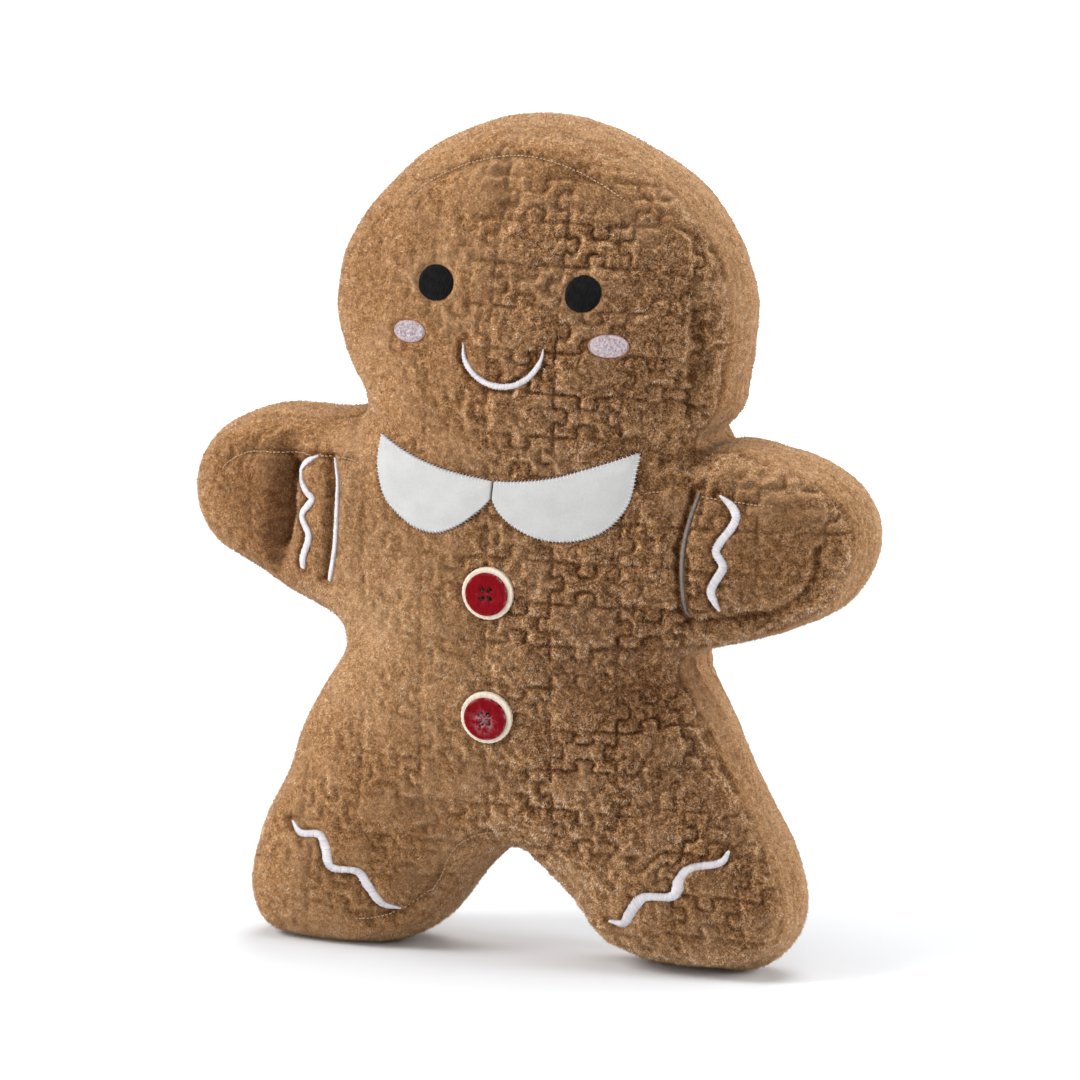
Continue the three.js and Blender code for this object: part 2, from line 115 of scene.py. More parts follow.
def placesAt(line, run, at):
    return np.stack([np.interp(at, run, line[:, k]) for k in (0, 1)], 1)


def closeLoop(line):
    return np.concatenate([line, line[:1]])


def joinShapes(a, b, fillet):
    h = np.clip(0.5 + 0.5 * (b - a) / fillet, 0, 1)
    return blend(b, a, h) - fillet * h * (1 - h)


def limbDistance(x, z, a, b, flip=1):
    ax, bx = flip * a["x"], flip * b["x"]
    length = math.hypot(bx - ax, b["z"] - a["z"])
    ux, uz = (bx - ax) / length, (b["z"] - a["z"]) / length
    side = np.abs((x - ax) * uz - (z - a["z"]) * ux)
    along = (x - ax) * ux + (z - a["z"]) * uz
    slope = (a["r"] - b["r"]) / length
    rise = math.sqrt(1 - slope * slope)
    k = along * rise - side * slope
    nearA = np.hypot(side, along) - a["r"]
    nearB = np.hypot(side, along - length) - b["r"]
    between = side * rise + along * slope - a["r"]
    return np.where(k < 0, nearA, np.where(k > rise * length, nearB, between))


def headDistance(x, z):
    h = panelShape["head"]
    px = np.abs(x - h["x"]) / h["halfWidth"]
    pz = np.abs(z - h["z"]) / h["halfHeight"]
    level = (px ** h["power"] + pz ** h["power"] + 1e-9) ** (1 / h["power"])
    gx = px ** (h["power"] - 1) / h["halfWidth"]
    gz = pz ** (h["power"] - 1) / h["halfHeight"]
    return (level - 1) / np.maximum(np.hypot(gx, gz) * level ** (1 - h["power"]), 1e-3)


def legDistance(x, z, flip):
    p = panelShape
    sole = limbDistance(x, z, p["soleInner"], p["soleOuter"], flip)
    return joinShapes(limbDistance(x, z, p["hip"], p["foot"], flip), sole, p["soleFillet"])


def panelDistance(x, z):
    # below zero inside the panel
    p = panelShape
    for atX, atZ, byX, byZ, reach in pulls:
        share = bell(np.hypot(x - atX, z - atZ), reach)
        x, z = x - byX * share, z - byZ * share
    legs = joinShapes(legDistance(x, z, 1), legDistance(x, z, -1), p["crotchFillet"])
    d = joinShapes(limbDistance(x, z, p["chest"], p["belly"]), legs, p["legFillet"])
    for flip in (1, -1):
        d = joinShapes(d, limbDistance(x, z, p["shoulder"], p["hand"], flip), p["armFillet"])
    return joinShapes(d, headDistance(x, z), p["neckFillet"])


def panelSlope(x, z):
    e = 0.05
    gx = (panelDistance(x + e, z) - panelDistance(x - e, z)) / (2 * e)
    gz = (panelDistance(x, z + e) - panelDistance(x, z - e)) / (2 * e)
    size = np.hypot(gx, gz)
    return gx / size, gz / size, size


def walkToLevel(x, z, level, steps=6):
    for _ in range(steps):
        nx, nz, size = panelSlope(x, z)
        move = (panelDistance(x, z) - level) / size
        x, z = x - nx * move, z - nz * move
    return x, z


def traceLevel(spacing, level=0.0):
    # follows the outline, or a line inside it, anticlockwise seen from the front
    h = panelShape["head"]
    x, z = walkToLevel(h["x"], h["z"] + h["halfHeight"] + level, level)
    startX, startZ, trail, stride = x, z, [(x, z)], 1.0
    while len(trail) < 20 or math.hypot(x - startX, z - startZ) > stride:
        nx, nz, _ = panelSlope(x, z)
        x, z = walkToLevel(x - nz * stride, z + nx * stride, level, 2)
        trail.append((float(x), float(z)))
    trail = closeLoop(np.array(trail))
    run = runAlong(trail)
    count = 2 * round(run[-1] / spacing / 2)
    return placesAt(trail, run, np.arange(count) * run[-1] / count), run[-1]


class Field:
    # values on a square grid over the panel, read between the grid points
    def __init__(self, step, low, high):
        self.step, self.low = step, low
        self.x = np.arange(low[0], high[0] + 0.1, step)
        self.z = np.arange(low[1], high[1] + 0.1, step)
        self.gx, self.gz = np.meshgrid(self.x, self.z, indexing="ij")

    def read(self, values, x, z):
        u = np.clip((np.asarray(x) - self.low[0]) / self.step, 0, len(self.x) - 1.001)
        v = np.clip((np.asarray(z) - self.low[1]) / self.step, 0, len(self.z) - 1.001)
        i, j = u.astype(int), v.astype(int)
        a, b = u - i, v - j
        near = blend(values[i, j], values[i, j + 1], b)
        far = blend(values[i + 1, j], values[i + 1, j + 1], b)
        return blend(near, far, a)


panelField = Field(stuffing["gridStep"], (-172, -8), (172, 412))
fourWays = ((0, -1), (0, 1), (1, -1), (1, 1))


def stretchSkin():
    # a stretched skin pushed up evenly: it stands highest where the panel is widest
    s = stuffing
    d = panelDistance(panelField.gx, panelField.gz)
    inside = d < 0
    inside[[0, -1]] = False
    inside[:, [0, -1]] = False
    gaps = []
    for axis, way in fourWays:
        near = np.roll(d, -way, axis)
        share = np.where(near < 0, 1, d / np.where(d == near, 1, d - near))
        gaps.append(s["gridStep"] * np.clip(share, 0.05, 1))
    spans = (gaps[0] + gaps[1], gaps[2] + gaps[3])
    weights = [2 / (gap * spans[k // 2]) for k, gap in enumerate(gaps)]
    total = sum(weights)
    skin = np.zeros_like(d)
    i, j = np.indices(d.shape)
    colours = [inside & ((i + j) % 2 == k) for k in (0, 1)]
    for _ in range(s["sweeps"]):
        for cells in colours:
            pull = 1 + sum(w * np.roll(skin, -way, axis) for w, (axis, way) in zip(weights, fourWays))
            skin[cells] += s["relax"] * (pull / total - skin)[cells]
    # close to the seam the skin rises in proportion to the distance from it
    known = d < -0.4 * s["gridStep"]
    ratio = np.where(known, skin / np.where(known, -d, 1), 0)
    for _ in range(4):
        nearSum = sum(np.roll(ratio * known, way, axis) for axis, way in fourWays)
        nearCount = sum(np.roll(known.astype(float), way, axis) for axis, way in fourWays)
        fresh = ~known & (nearCount > 0)
        ratio[fresh] = nearSum[fresh] / nearCount[fresh]
        known = known | fresh
    return skin, ratio


skinHeight, skinRatio = stretchSkin()


def halfDepth(x, z):
    s = stuffing
    inset = np.maximum(-panelDistance(x, z), 0)
    deep = easeStep(inset, 2 * s["gridStep"], 4 * s["gridStep"])
    skin = blend(panelField.read(skinRatio, x, z) * inset, panelField.read(skinHeight, x, z), deep)
    inHead = 1 / (1 + np.exp(-(z - s["headFromZ"]) / s["headBlend"]))
    return s["stripWidth"] / 2 + s["dome"] * (1 + s["headExtra"] * inHead) * np.sqrt(np.maximum(skin, 0))


def measureCloth():
    # how far along the cloth each place lies: a dome takes up more cloth than a flat sheet
    h, step, most = halfDepth(panelField.gx, panelField.gz), panelField.step, stuffing["steepest"]
    across = np.cumsum(np.hypot(1, np.clip(np.gradient(h, step, axis=0), -most, most)), 0) * step
    up = np.cumsum(np.hypot(1, 0.5 * np.clip(np.gradient(h, step, axis=1), -most, most)), 1) * step
    middle = np.argmin(np.abs(panelField.x))
    level = np.argmin(np.abs(panelField.z - stuffing["clothLevel"]))
    across += panelField.x[middle] - across[middle]
    up += panelField.z[level] - up[:, level:level + 1]
    return across, up


clothAcross, clothUp = measureCloth()
headMiddle = panelShape["head"]["x"], panelShape["head"]["z"]
print("panels drawn: the head is", round(2 * float(halfDepth(*headMiddle)), 1), "mm deep")

# ---- sewing and filling the body

bodyCloth = {
    "spacing": 5.0,              # of the sewing mesh
    "ringInsets": (2.4, 6.4),    # rows of cloth next to the seam
    "stripRows": (-0.75, -0.5, -0.25, 0, 0.25, 0.5, 0.75),
    "startDome": 0.94,           # the cloth is cut flatter than the filled shape
    "startBulge": 0.85,
    "tightBend": 22,             # how much less the strip bulges where the outline turns inwards
    "quality": 6, "mass": 0.35, "stretch": 12, "shear": 4, "bend": 0.6,
    "pressure": 4.0, "frames": 20, "mostMove": 5.0,
    "fill": 0.75, "levels": 2,
}


def addObject(name, data):
    made = bpy.data.objects.new(name, data)
    scene.collection.objects.link(made)
    return made


def newMesh(name, points, faces, smooth=True):
    mesh = bpy.data.meshes.new(name)
    mesh.from_pydata([tuple(p) for p in points], [], faces)
    mesh.validate()
    if smooth:
        mesh.polygons.foreach_set("use_smooth", [True] * len(mesh.polygons))
    return addObject(name, mesh)


def readAll(items, what, width=1, kind=float):
    values = np.empty(len(items) * width, kind)
    items.foreach_get(what, values)
    return values


def readPoints(mesh, what="co"):
    return readAll(mesh.vertices, what, 3).reshape(-1, 3)


def readMark(mesh, name):
    return readAll(mesh.attributes[name].data, "value")


def mark(mesh, name, values):
    # gives every point a value that the materials and the pile read
    mesh.attributes.new(name, "FLOAT", "POINT").data.foreach_set("value", values)


def writePoints(mesh, points):
    mesh.vertices.foreach_set("co", np.ascontiguousarray(points).ravel())
    mesh.update()


def sewBody():
    c, half = bodyCloth, stuffing["stripWidth"] / 2
    seam, seamLength = traceLevel(c["spacing"])
    count = len(seam)
    nx, nz, _ = panelSlope(seam[:, 0], seam[:, 1])
    outward = np.stack([nx, nz], 1)
    rings = [seam - outward * inset for inset in c["ringInsets"]]
    rowStep = c["spacing"] * math.sqrt(3) / 2
    fill = []
    for j in range(int(410 / rowStep)):
        x = np.arange(-200, 200, c["spacing"]) + (j % 2) * c["spacing"] / 2
        z = np.full_like(x, j * rowStep)
        keep = panelDistance(x, z) < -c["ringInsets"][-1] - 0.62 * c["spacing"]
        fill += list(zip(x[keep], z[keep]))
    flat = np.concatenate([rings[-1], np.array(fill)])
    loop = [(i, (i + 1) % count) for i in range(count)]
    made = delaunay_2d_cdt([Vector(p) for p in flat], loop, [], 1, 1e-6)
    triangles = [tuple(t) for t in made[2]]
    rest = np.array([tuple(p) for p in made[0]])[count:]
    points, faces = [], []

    def addLoop(x, y, z):
        start = len(points)
        points.extend(zip(x, y, z))
        return list(range(start, len(points)))

    def band(a, b):
        faces.extend((a[i], a[k], b[k], b[i]) for i, k in loop)

    def addPanel(side, edge):
        loops = [edge]
        for ring in (*rings, rest):
            dome = c["startDome"] * (halfDepth(ring[:, 0], ring[:, 1]) - half)
            loops.append(addLoop(ring[:, 0], side * (half + dome), ring[:, 1]))
        for a, b in zip(loops[:-2], loops[1:-1]):
            band(a, b) if side < 0 else band(b, a)
        inner = loops[-2] + loops[-1]
        for t in triangles:
            tri = [inner[k] for k in t]
            faces.append(tri if side < 0 else tri[::-1])

    way = unit(np.roll(seam, -2, 0) - np.roll(seam, 2, 0))
    onward = np.roll(way, -1, 0)
    bend = (way[:, 0] * onward[:, 1] - way[:, 1] * onward[:, 0]) / c["spacing"]
    room = 1 / (1 + c["tightBend"] * np.maximum(-bend, 0))
    room = sum(np.roll(room, k) for k in range(-2, 3)) / 5
    rows = []
    for row in (-1, *c["stripRows"], 1):
        bulge = c["startBulge"] * stuffing["stripBulge"] * (1 - row * row) * room
        x, z = (seam + outward * bulge[:, None]).T
        rows.append(addLoop(x, np.full(count, row * half), z))
    for a, b in zip(rows[:-1], rows[1:]):
        band(b, a)
    stripFaces = len(faces)
    addPanel(-1, rows[0])
    addPanel(1, rows[-1])
    points = np.array(points)
    points[:, 1] += depthShift
    points[:, 2] = np.maximum(points[:, 2], 0)
    body = newMesh("plushBody", points * mm, faces)
    # the strip keeps its own length and width as cloth coordinates
    layer = body.data.uv_layers.new(name="strip")
    uv = np.zeros((len(body.data.loops), 2))
    cells = readAll(body.data.loops, "vertex_index", kind=int)[:4 * stripFaces].reshape(-1, 4)
    along = cells % count
    along = np.where((along == 0) & (along.max(1, keepdims=True) > count / 2), count, along)
    uv[:4 * stripFaces, 0] = (along * seamLength / count).ravel()
    uv[:4 * stripFaces, 1] = points[cells.ravel(), 1] - depthShift
    layer.data.foreach_set("uv", (uv * mm).ravel())
    body.data.polygons.foreach_set("material_index", [int(k >= stripFaces) for k in range(len(faces))])
    held = body.vertex_groups.new(name="seams")
    held.add(rows[0] + rows[-1], 1.0, "REPLACE")
    return body


def fillBody(body):
    # the stuffing presses the cloth out against its pinned seams
    c = bodyCloth
    before = readPoints(body.data)
    cloth = body.modifiers.new("filling", "CLOTH")
    s = cloth.settings
    s.quality, s.mass = c["quality"], c["mass"]
    s.tension_stiffness = s.compression_stiffness = c["stretch"]
    s.shear_stiffness, s.bending_stiffness = c["shear"], c["bend"]
    s.use_pressure = True
    s.uniform_pressure_force = c["pressure"]
    s.effector_weights.gravity = 0
    s.vertex_group_mass = "seams"
    s.pin_stiffness = 1
    cloth.collision_settings.use_collision = False
    scene.frame_start, scene.frame_end = 1, c["frames"]
    for f in range(1, c["frames"] + 1):
        scene.frame_set(f)
    after = readPoints(body.evaluated_get(bpy.context.evaluated_depsgraph_get()).data)
    body.modifiers.remove(cloth)
    scene.frame_set(1)
    move = (after - before) / mm
    size = np.linalg.norm(move, axis=1)
    print("filling moved the cloth", round(float(np.median(size)), 2), "mm in the middle,",
          round(float(size.max()), 2), "mm at most")
    move *= (c["mostMove"] * np.tanh(size / c["mostMove"]) / np.maximum(size, 1e-6))[:, None]
    points = before + move * mm
    points[:, 2] = np.maximum(points[:, 2], 0)
    writePoints(body.data, points)


def freeze(piece):
    # turns the evaluated modifiers into the piece's own plain mesh
    piece.data = bpy.data.meshes.new_from_object(piece.evaluated_get(bpy.context.evaluated_depsgraph_get()))
    piece.modifiers.clear()


plushBody = sewBody()
print("body sewn from", len(plushBody.data.vertices), "points")
fillBody(plushBody)
finer = plushBody.modifiers.new("finer", "SUBSURF")
finer.levels = finer.render_levels = bodyCloth["levels"]
finer.uv_smooth = "NONE"
freeze(plushBody)
plushBody.vertex_groups.clear()
print("body refined to", len(plushBody.data.polygons), "faces")

# ---- where the embroidery, felt and buttons go on the front, all in mm

patches = {
    "eyes": [(-34.2, 328.1), (39.6, 328.4)], "eyeRadii": [(9.4, 8.4), (8.7, 8.5)],
    "cheeks": [(-46.4, 304.1), (53.3, 304.6)], "cheekRadii": [(8.1, 4.9), (8.8, 5.2)],
}
satinPaths = {
    "smile": [(-17.2, 301), (-16.5, 294.4), (-12.8, 288.7), (-7, 284.6), (-1.2, 282.7), (4.8, 282.5),
        (10.8, 284), (16.4, 287.8), (20.2, 292.4), (22.4, 297.2), (23.2, 301.6)],
    "sleeveLineLeft": [(-87.4, 238), (-84.5, 228), (-84, 213.8), (-84.9, 196), (-88.6, 179.2)],
    "sleeveLineRight": [(95, 236.5), (92.6, 227), (90.4, 216), (89.2, 204), (89.4, 192), (90.4, 180),
        (92, 176.8)],
    "sleeveWaveLeft": [(-96.6, 238.2), (-102.4, 235.2), (-107.6, 231), (-108, 227.6), (-101.2, 220.8),
        (-97.6, 217.6), (-103, 210.6), (-103, 207.2), (-99, 199.5), (-102.6, 189), (-103.2, 183.5)],
    "sleeveWaveRight": [(105, 235.4), (110.8, 231), (113.6, 226), (112, 220.8), (106.8, 213), (105.6, 208.8),
        (108.6, 203.8), (108.6, 200.6), (104.8, 194), (103.2, 189.4), (104.8, 184.2), (106.6, 180.4)],
    "legWaveLeft": [(-106, 60), (-100.8, 55), (-90.6, 55.4), (-87, 49), (-84.2, 40), (-71, 39), (-66, 32.4),
        (-59.6, 23.6), (-51, 21.8)],
    "legWaveRight": [(113.8, 65), (110.2, 59.4), (97.2, 56.2), (92, 51), (88, 41.8), (74.2, 40), (67.6, 32.6),
        (62.4, 25.6), (54.6, 25.6)],
}
# half widths of each satin line where it runs level and where it runs steep,
# and how each end narrows: share, length
satinShapes = {
    "sleeveLineLeft": {"level": 1.1, "steep": 1.2, "start": (0.35, 34), "end": (0.75, 4)},
    "sleeveLineRight": {"level": 0.9, "steep": 0.95, "start": (0.3, 14), "end": (0.4, 9)},
    "sleeveWaveLeft": {"level": 1.25, "steep": 1.65, "start": (0.25, 10), "end": (0.7, 4)},
    "sleeveWaveRight": {"level": 1.45, "steep": 1.95, "start": (0.2, 9), "end": (0.3, 8)},
    "legWaveLeft": {"level": 1.5, "steep": 2.35, "start": (0.2, 10), "end": (0.25, 12)},
    "legWaveRight": {"level": 1.7, "steep": 2.75, "start": (0.2, 12), "end": (0.25, 10)},
    "smile": {"level": 1.25, "steep": 1.25, "start": (0.15, 12), "end": (0.12, 13), "teeth": 0.12},
}
lineShade = {"shift": (-2.2, 0.7), "width": 1.7, "depth": 0.75}
collar = {
    "leftUpper": [(-1.2, 236.4), (-19, 238.6), (-34, 242), (-47.5, 246.6), (-60.4, 252.8)],
    "leftLower": [(-1.8, 228), (-7.6, 222), (-17.6, 214.3), (-28.6, 209.6), (-39.6, 210.8), (-48.9, 216),
                  (-57, 223.8), (-61.3, 237.4), (-60.9, 250.5)],
    "rightUpper": [(-0.2, 236.4), (14, 237.4), (30, 240.4), (46, 245.8), (57.6, 250), (66.2, 253.4)],
    "rightLower": [(-1.0, 228), (2.4, 222), (9.4, 216.1), (19.8, 211.3), (33, 209.8), (46.4, 212.8),
                   (56.6, 219.3), (64.2, 230.4), (66.2, 242.7), (66.6, 251)],
}
buttonPlace = {"upper": (-2.0, 182.8), "lower": (-1.6, 123.0), "radius": 12.6}
stitchLine = {
    "inset": 12.0, "pitch": 1.9, "length": 1.1, "thickness": 0.36, "lift": 0.75,
    "tuck": 0.8, "tuckWidth": 2.0, "sink": 0.35, "sinkSize": 22.0,
    "along": np.array([-0.5, -0.42, -0.15, 0.15, 0.42, 0.5]),  # each stitch in parts of its length
    "arch": np.array([-0.5, 0.05, 0.2, 0.2, 0.05, -0.5]),
    # elsewhere it is lost in the pile: x, z, reach, strength
    "shown": [(-126, 240, 26, 1), (-98, 243, 30, 1), (-30, 384, 34, 1), (20, 390, 40, 1), (-26, 66, 18, 1),
              (-44, 48, 20, 1), (-62, 28, 18, 1), (0, 70, 18, 1), (72, 246, 12, 1), (116, 240, 26, 1)],
    # where it runs further from the seam or closer to it: x, z, reach, by
    "strays": [(-118, 240, 36, 4.6), (-146, 196, 24, -3.0), (126, 238, 40, 4.2), (82, 330, 22, -5.0),
               (82, 296, 26, -9.0), (0, 76, 16, -7.0), (-43, 43, 20, -7.0)],
}


def stitchInset(x, z):
    return stitchLine["inset"] + spots(x, z, stitchLine["strays"])


def stitchShown(x, z):
    return easeStep(spots(x, z, stitchLine["shown"]), 0.25, 0.6)


def smoothPath(points, pitch):
    # a rounded line through the points, in even steps
    p = np.array(points, float)
    p = np.concatenate([[2 * p[0] - p[1]], p, [2 * p[-1] - p[-2]]])
    t = np.linspace(0, 1, 24, endpoint=False)[:, None]
    parts = []
    for a, b, c, d in zip(p[:-3], p[1:-2], p[2:-1], p[3:]):
        bend, twist = 2 * a - 5 * b + 4 * c - d, 3 * b - a - 3 * c + d
        parts.append(0.5 * (2 * b + (c - a) * t + bend * t ** 2 + twist * t ** 3))
    line = np.concatenate(parts + [p[-2:-1]])
    run = runAlong(line)
    return placesAt(line, run, np.linspace(0, run[-1], max(2, round(run[-1] / pitch) + 1)))


def distanceToPath(x, z, path, reach=14.0):
    # distance to a line for the places within reach of it
    distance = np.full(len(x), 1e3)
    low, high = path.min(0) - reach, path.max(0) + reach
    near = np.flatnonzero((x > low[0]) & (x < high[0]) & (z > low[1]) & (z < high[1]))
    px, pz = x[near], z[near]
    best = np.full(len(near), 1e3)
    for a, b in zip(path[:-1], path[1:]):
        dx, dz = b - a
        t = np.clip(((px - a[0]) * dx + (pz - a[1]) * dz) / (dx * dx + dz * dz), 0, 1)
        best = np.minimum(best, np.hypot(px - a[0] - t * dx, pz - a[1] - t * dz))
    distance[near] = best
    return distance


def valueNoise(points, size, seed):
    # smooth noise from -1 to 1 over places in mm
    q = points / size + seed * 17.31
    cell = np.floor(q).astype(np.int64)
    t = q - cell
    t = t * t * (3 - 2 * t)
    total = np.zeros(len(points))
    for corner in range(8):
        pick = [corner & 1, corner >> 1 & 1, corner >> 2]
        mixed = sum((cell[:, k] + pick[k]) * prime
                    for k, prime in enumerate((374761393, 668265263, 1442695041)))
        mixed = (mixed ^ (mixed >> 13)) * 1274126177
        mixed = (mixed ^ (mixed >> 16)) & 0xffff
        weight = np.prod([t[:, k] if pick[k] else 1 - t[:, k] for k in range(3)], axis=0)
        total += weight * (mixed / 32767.5 - 1)
    return total


# folds and dents in the front: how deep, how wide, how much painted shade lies along the fold, and the line
frontFolds = [
    (7.4, 6.4, 0, [(-111, 238), (-112, 226), (-112.4, 212), (-114.6, 200), (-117, 186)]),
    (3.8, 2.8, 0.5, [(-112.4, 236), (-112.6, 226), (-111, 216), (-111.6, 206), (-115, 194)]),
    (2.6, 2.2, 0, [(-90.2, 238), (-87.6, 226), (-87.2, 212), (-88.2, 196), (-91.6, 180)]),
    (2.6, 2.2, 0, [(93.4, 236), (90.8, 226), (88.2, 212), (87, 198), (87.6, 186), (90, 177)]),
    (3.0, 5.0, 0, [(-95, 250), (-84, 248), (-70, 250)]),
    (3.0, 5.0, 0, [(97, 250), (86, 249), (72, 252)]),
    (3.2, 2.8, 0.7, [(92, 174), (106, 176), (126, 179), (141, 187), (150, 200), (152, 214)]),
    (2.6, 3.4, 0.4, [(91, 322), (91, 300), (87, 272)]),
    (2.2, 6.5, 0, [(-4, 382), (-1, 372), (0, 366)]),
    (2.0, 7.0, 0, [(-70, 258), (-30, 247), (4, 243), (40, 249), (76, 259)]),
    (3.2, 3.2, 0.5, [(78, 250), (90, 255), (101, 264)]),
    (2.4, 3.2, 0, [(-86, 263), (-80, 252)]),
    (1.8, 4.0, 0, [(-56, 58), (-34, 66), (-14, 75), (4, 80)]),
    (1.2, 3.0, 0, [(-40, 76), (-24, 80), (-8, 86)]),
]
soleRound = {"high": 5.0, "fromTo": (-8, 16), "along": (35, 60), "upTo": 30}
lumps = {"size": 34.0, "height": 1.3, "smallSize": 15.0, "smallHeight": 0.55}


def foldBody(body):
    points = readPoints(body.data) / mm
    normals = readPoints(body.data, "normal")
    x, y, z = points[:, 0], points[:, 1] - depthShift, points[:, 2]
    half = stuffing["stripWidth"] / 2
    front = easeStep(-y, half, half + 8)
    push = lumps["height"] * valueNoise(points, lumps["size"], 3)
    push += lumps["smallHeight"] * valueNoise(points, lumps["smallSize"], 5)
    for depth, width, _, path in frontFolds:
        push -= front * depth * bell(distanceToPath(x, z, smoothPath(path, 4), 3 * width), width)
    push *= easeStep(z, 0, 12)
    points += normals * push[:, None]
    s = soleRound
    points[:, 2] += (s["high"] * easeStep(-y, *s["fromTo"]) * easeStep(x, *s["along"])
                     * easeStep(-z, -s["upTo"], 0))
    points[:, 2] = np.maximum(points[:, 2], 0)
    writePoints(body.data, points * mm)


foldBody(plushBody)

frontField = Field(2.0, (-176, -8), (176, 412))


def mapFront(body):
    # how far the front stands forward, place by place, for whatever is sewn on it
    bpy.context.view_layer.update()
    tree = BVHTree.FromObject(body, bpy.context.evaluated_depsgraph_get())
    depth = depthShift - halfDepth(frontField.gx, frontField.gz)
    for i, j in np.argwhere(panelDistance(frontField.gx, frontField.gz) < -1):
        hit = tree.ray_cast(Vector((frontField.x[i] * mm, -0.3, frontField.z[j] * mm)), Vector((0, 1, 0)))
        if hit[0] is not None:
            depth[i, j] = hit[0].y / mm
    return depth


frontDepth = mapFront(plushBody)
frontSlopeX = np.gradient(frontDepth, frontField.step, axis=0)
frontSlopeZ = np.gradient(frontDepth, frontField.step, axis=1)


def onCloth(x, z, lift=0.0):
    # a place on the front, lifted off the cloth along its normal
    x, z = np.asarray(x, float), np.asarray(z, float)
    y = frontField.read(frontDepth, x, z)
    sx, sz = frontField.read(frontSlopeX, x, z), frontField.read(frontSlopeZ, x, z)
    size = np.sqrt(1 + sx * sx + sz * sz)
    return np.stack([x + lift * sx / size, y - lift / size, z + lift * sz / size], -1)


def clothNormal(x, z):
    out = onCloth(x, z, 1.0) - onCloth(x, z, 0.0)
    return out / np.linalg.norm(out)


print("front measured for the trim")

# ---- the embossed pattern and the pile in the cloth

jigsaw = {
    "wide": 32.5, "high": 20.15, "startX": -3.7, "startZ": 179.6, "stripLevel": 188,
    "acrossKnob": {"wide": 9.5, "neck": 7.0, "deep": 6.6},
    "upKnob": {"wide": 7.8, "neck": 5.6, "deep": 6.4},
    "cell": 0.4, "sway": 0.5, "swaySize": 9.0, "unevenSize": 26.0,
    "groove": 1.75, "grooveWidth": 1.15, "crown": 1.4, "crownWidth": 3.8,
    "faintX": -40, "firmX": 34, "faint": 0.32, "onStrip": 0.25, "onBack": 0.7,
    # share, and the heights between which it sets in:
    # fainter at the crown and the feet, a little firmer on the legs
    "lessUp": (0.75, 350, 385), "lessDown": (0.45, 80, 30), "onLegs": (0.12, 130, 85),
    "lessAt": [(128, 216, 34, 0.8)],  # fainter on the right hand: x, z, reach, by
}
pile = {
    # size, seed, and height where the cloth is soft and where it is pressed firmly
    "bumps": [(2.0, 31, 0.16, 0.5), (4.2, 32, 0.24, 1.45)],
    "calm": (0.5, 110, 70),  # the soft cloth is smoother low on the legs
    "seamDent": 1.0, "seamWidth": 1.5, "lip": 0.15, "lipAt": 4, "lipWidth": 2.0,
    # the fixed direction of the painted sheen
    "sheenFrom": (0.323, 0.932, 0.162),  # to the right, out of the panel, up
    # fine creases where the cloth is pressed firmly
    "crease": {"size": 5.6, "seed": 33, "sharp": 0.13, "deep": 0.95},
    # how much painted shade the seams, the running stitch, the tucks and the creases get
    "dark": {"seam": 0.8, "stitch": 0.35, "tuck": 0.7, "crease": 0.35},  # how dark each of them is
    "crisp": [(-50, 160, 52, 0.35)],  # more contrast between tips and gaps: x, z, reach, by
}
# the cloth under each kind of trim: between which distances from the edge its cover ends,
# how deep the cloth is tucked in, and between which distances that ends
trimEdges = {
    "patch": ((0, 1.6), 0.9, (-0.5, 2.2)), "felt": ((-0.6, 1.2), 0.9, (-0.5, 2.0)),
    "button": ((-1.5, 1.0), 1.0, (-2, 2.5)),
    "line": {"cover": (1.0, 2.4), "tuck": 1.5, "tuckWidth": 2.8},
}
# places where the seam is drawn in deeper and painted darker with shade: x, z, reach, strength
deepSeams = [(84, 148, 20, 1), (92, 290, 14, 1), (-88, 262, 12, 1), (118, 170, 24, 1), (90, 260, 12, 1)]
# lighter (above 0) and darker spots on the pile: partly where it is brushed to show its light or dark side,
# partly painted light and painted shade, such as the lit left of the chest, the shaded right of it, the shade
# in the left arm's fold and under the right arm: x, z, reach, by
brushAndShade = [
    (-52, 158, 50, 0.5), (-4, 372, 44, 0.1), (64, 368, 26, 0.3), (124, 234, 30, 0.35), (-106, 30, 26, 0.1),
    (-12, 118, 26, 0.2), (-72, 346, 30, -0.25), (-92, 70, 34, -0.1), (-40, 92, 30, -0.1),
    (50, 168, 34, -0.32), (66, 130, 30, -0.32), (-138, 222, 24, -0.6), (-120, 182, 24, -0.6),
    (118, 178, 28, -0.45), (80, 282, 28, -0.25), (4, 256, 30, -0.15), (-72, 322, 24, -0.3),
    (60, 60, 40, -0.05), (-34.2, 328.1, 11, 1.2), (39.6, 328.4, 10.5, 1.2), (79, 144, 15, -0.7),
    (-112, 226, 9, -0.6), (-114, 209, 10, -0.8), (-117, 193, 9, -0.6),
]


def knobLine(length, knob, way):
    # one edge of a jigsaw piece, with its knob in the middle
    middle, wide, neck, deep = length / 2, knob["wide"] / 2, knob["neck"] / 2, knob["deep"]
    half = [(neck + 1.4, 0), (neck, 1.0), (neck + 0.1, 2.0),
            (wide, 3.1), (wide, deep - 1.6), (wide - 1.8, deep)]
    line = ([(0, 0)] + [(middle - a, b) for a, b in half]
            + [(middle + a, b) for a, b in half[::-1]] + [(length, 0)])
    line = np.array(line)
    for _ in range(2):
        cut = np.empty((2 * len(line), 2))
        cut[0], cut[-1] = line[0], line[-1]
        cut[1:-1:2] = 0.75 * line[:-1] + 0.25 * line[1:]
        cut[2::2] = 0.25 * line[:-1] + 0.75 * line[1:]
        line = cut
    run = runAlong(line)
    return (placesAt(line, run, np.arange(0, run[-1], jigsaw["cell"])) * (1, way)).T


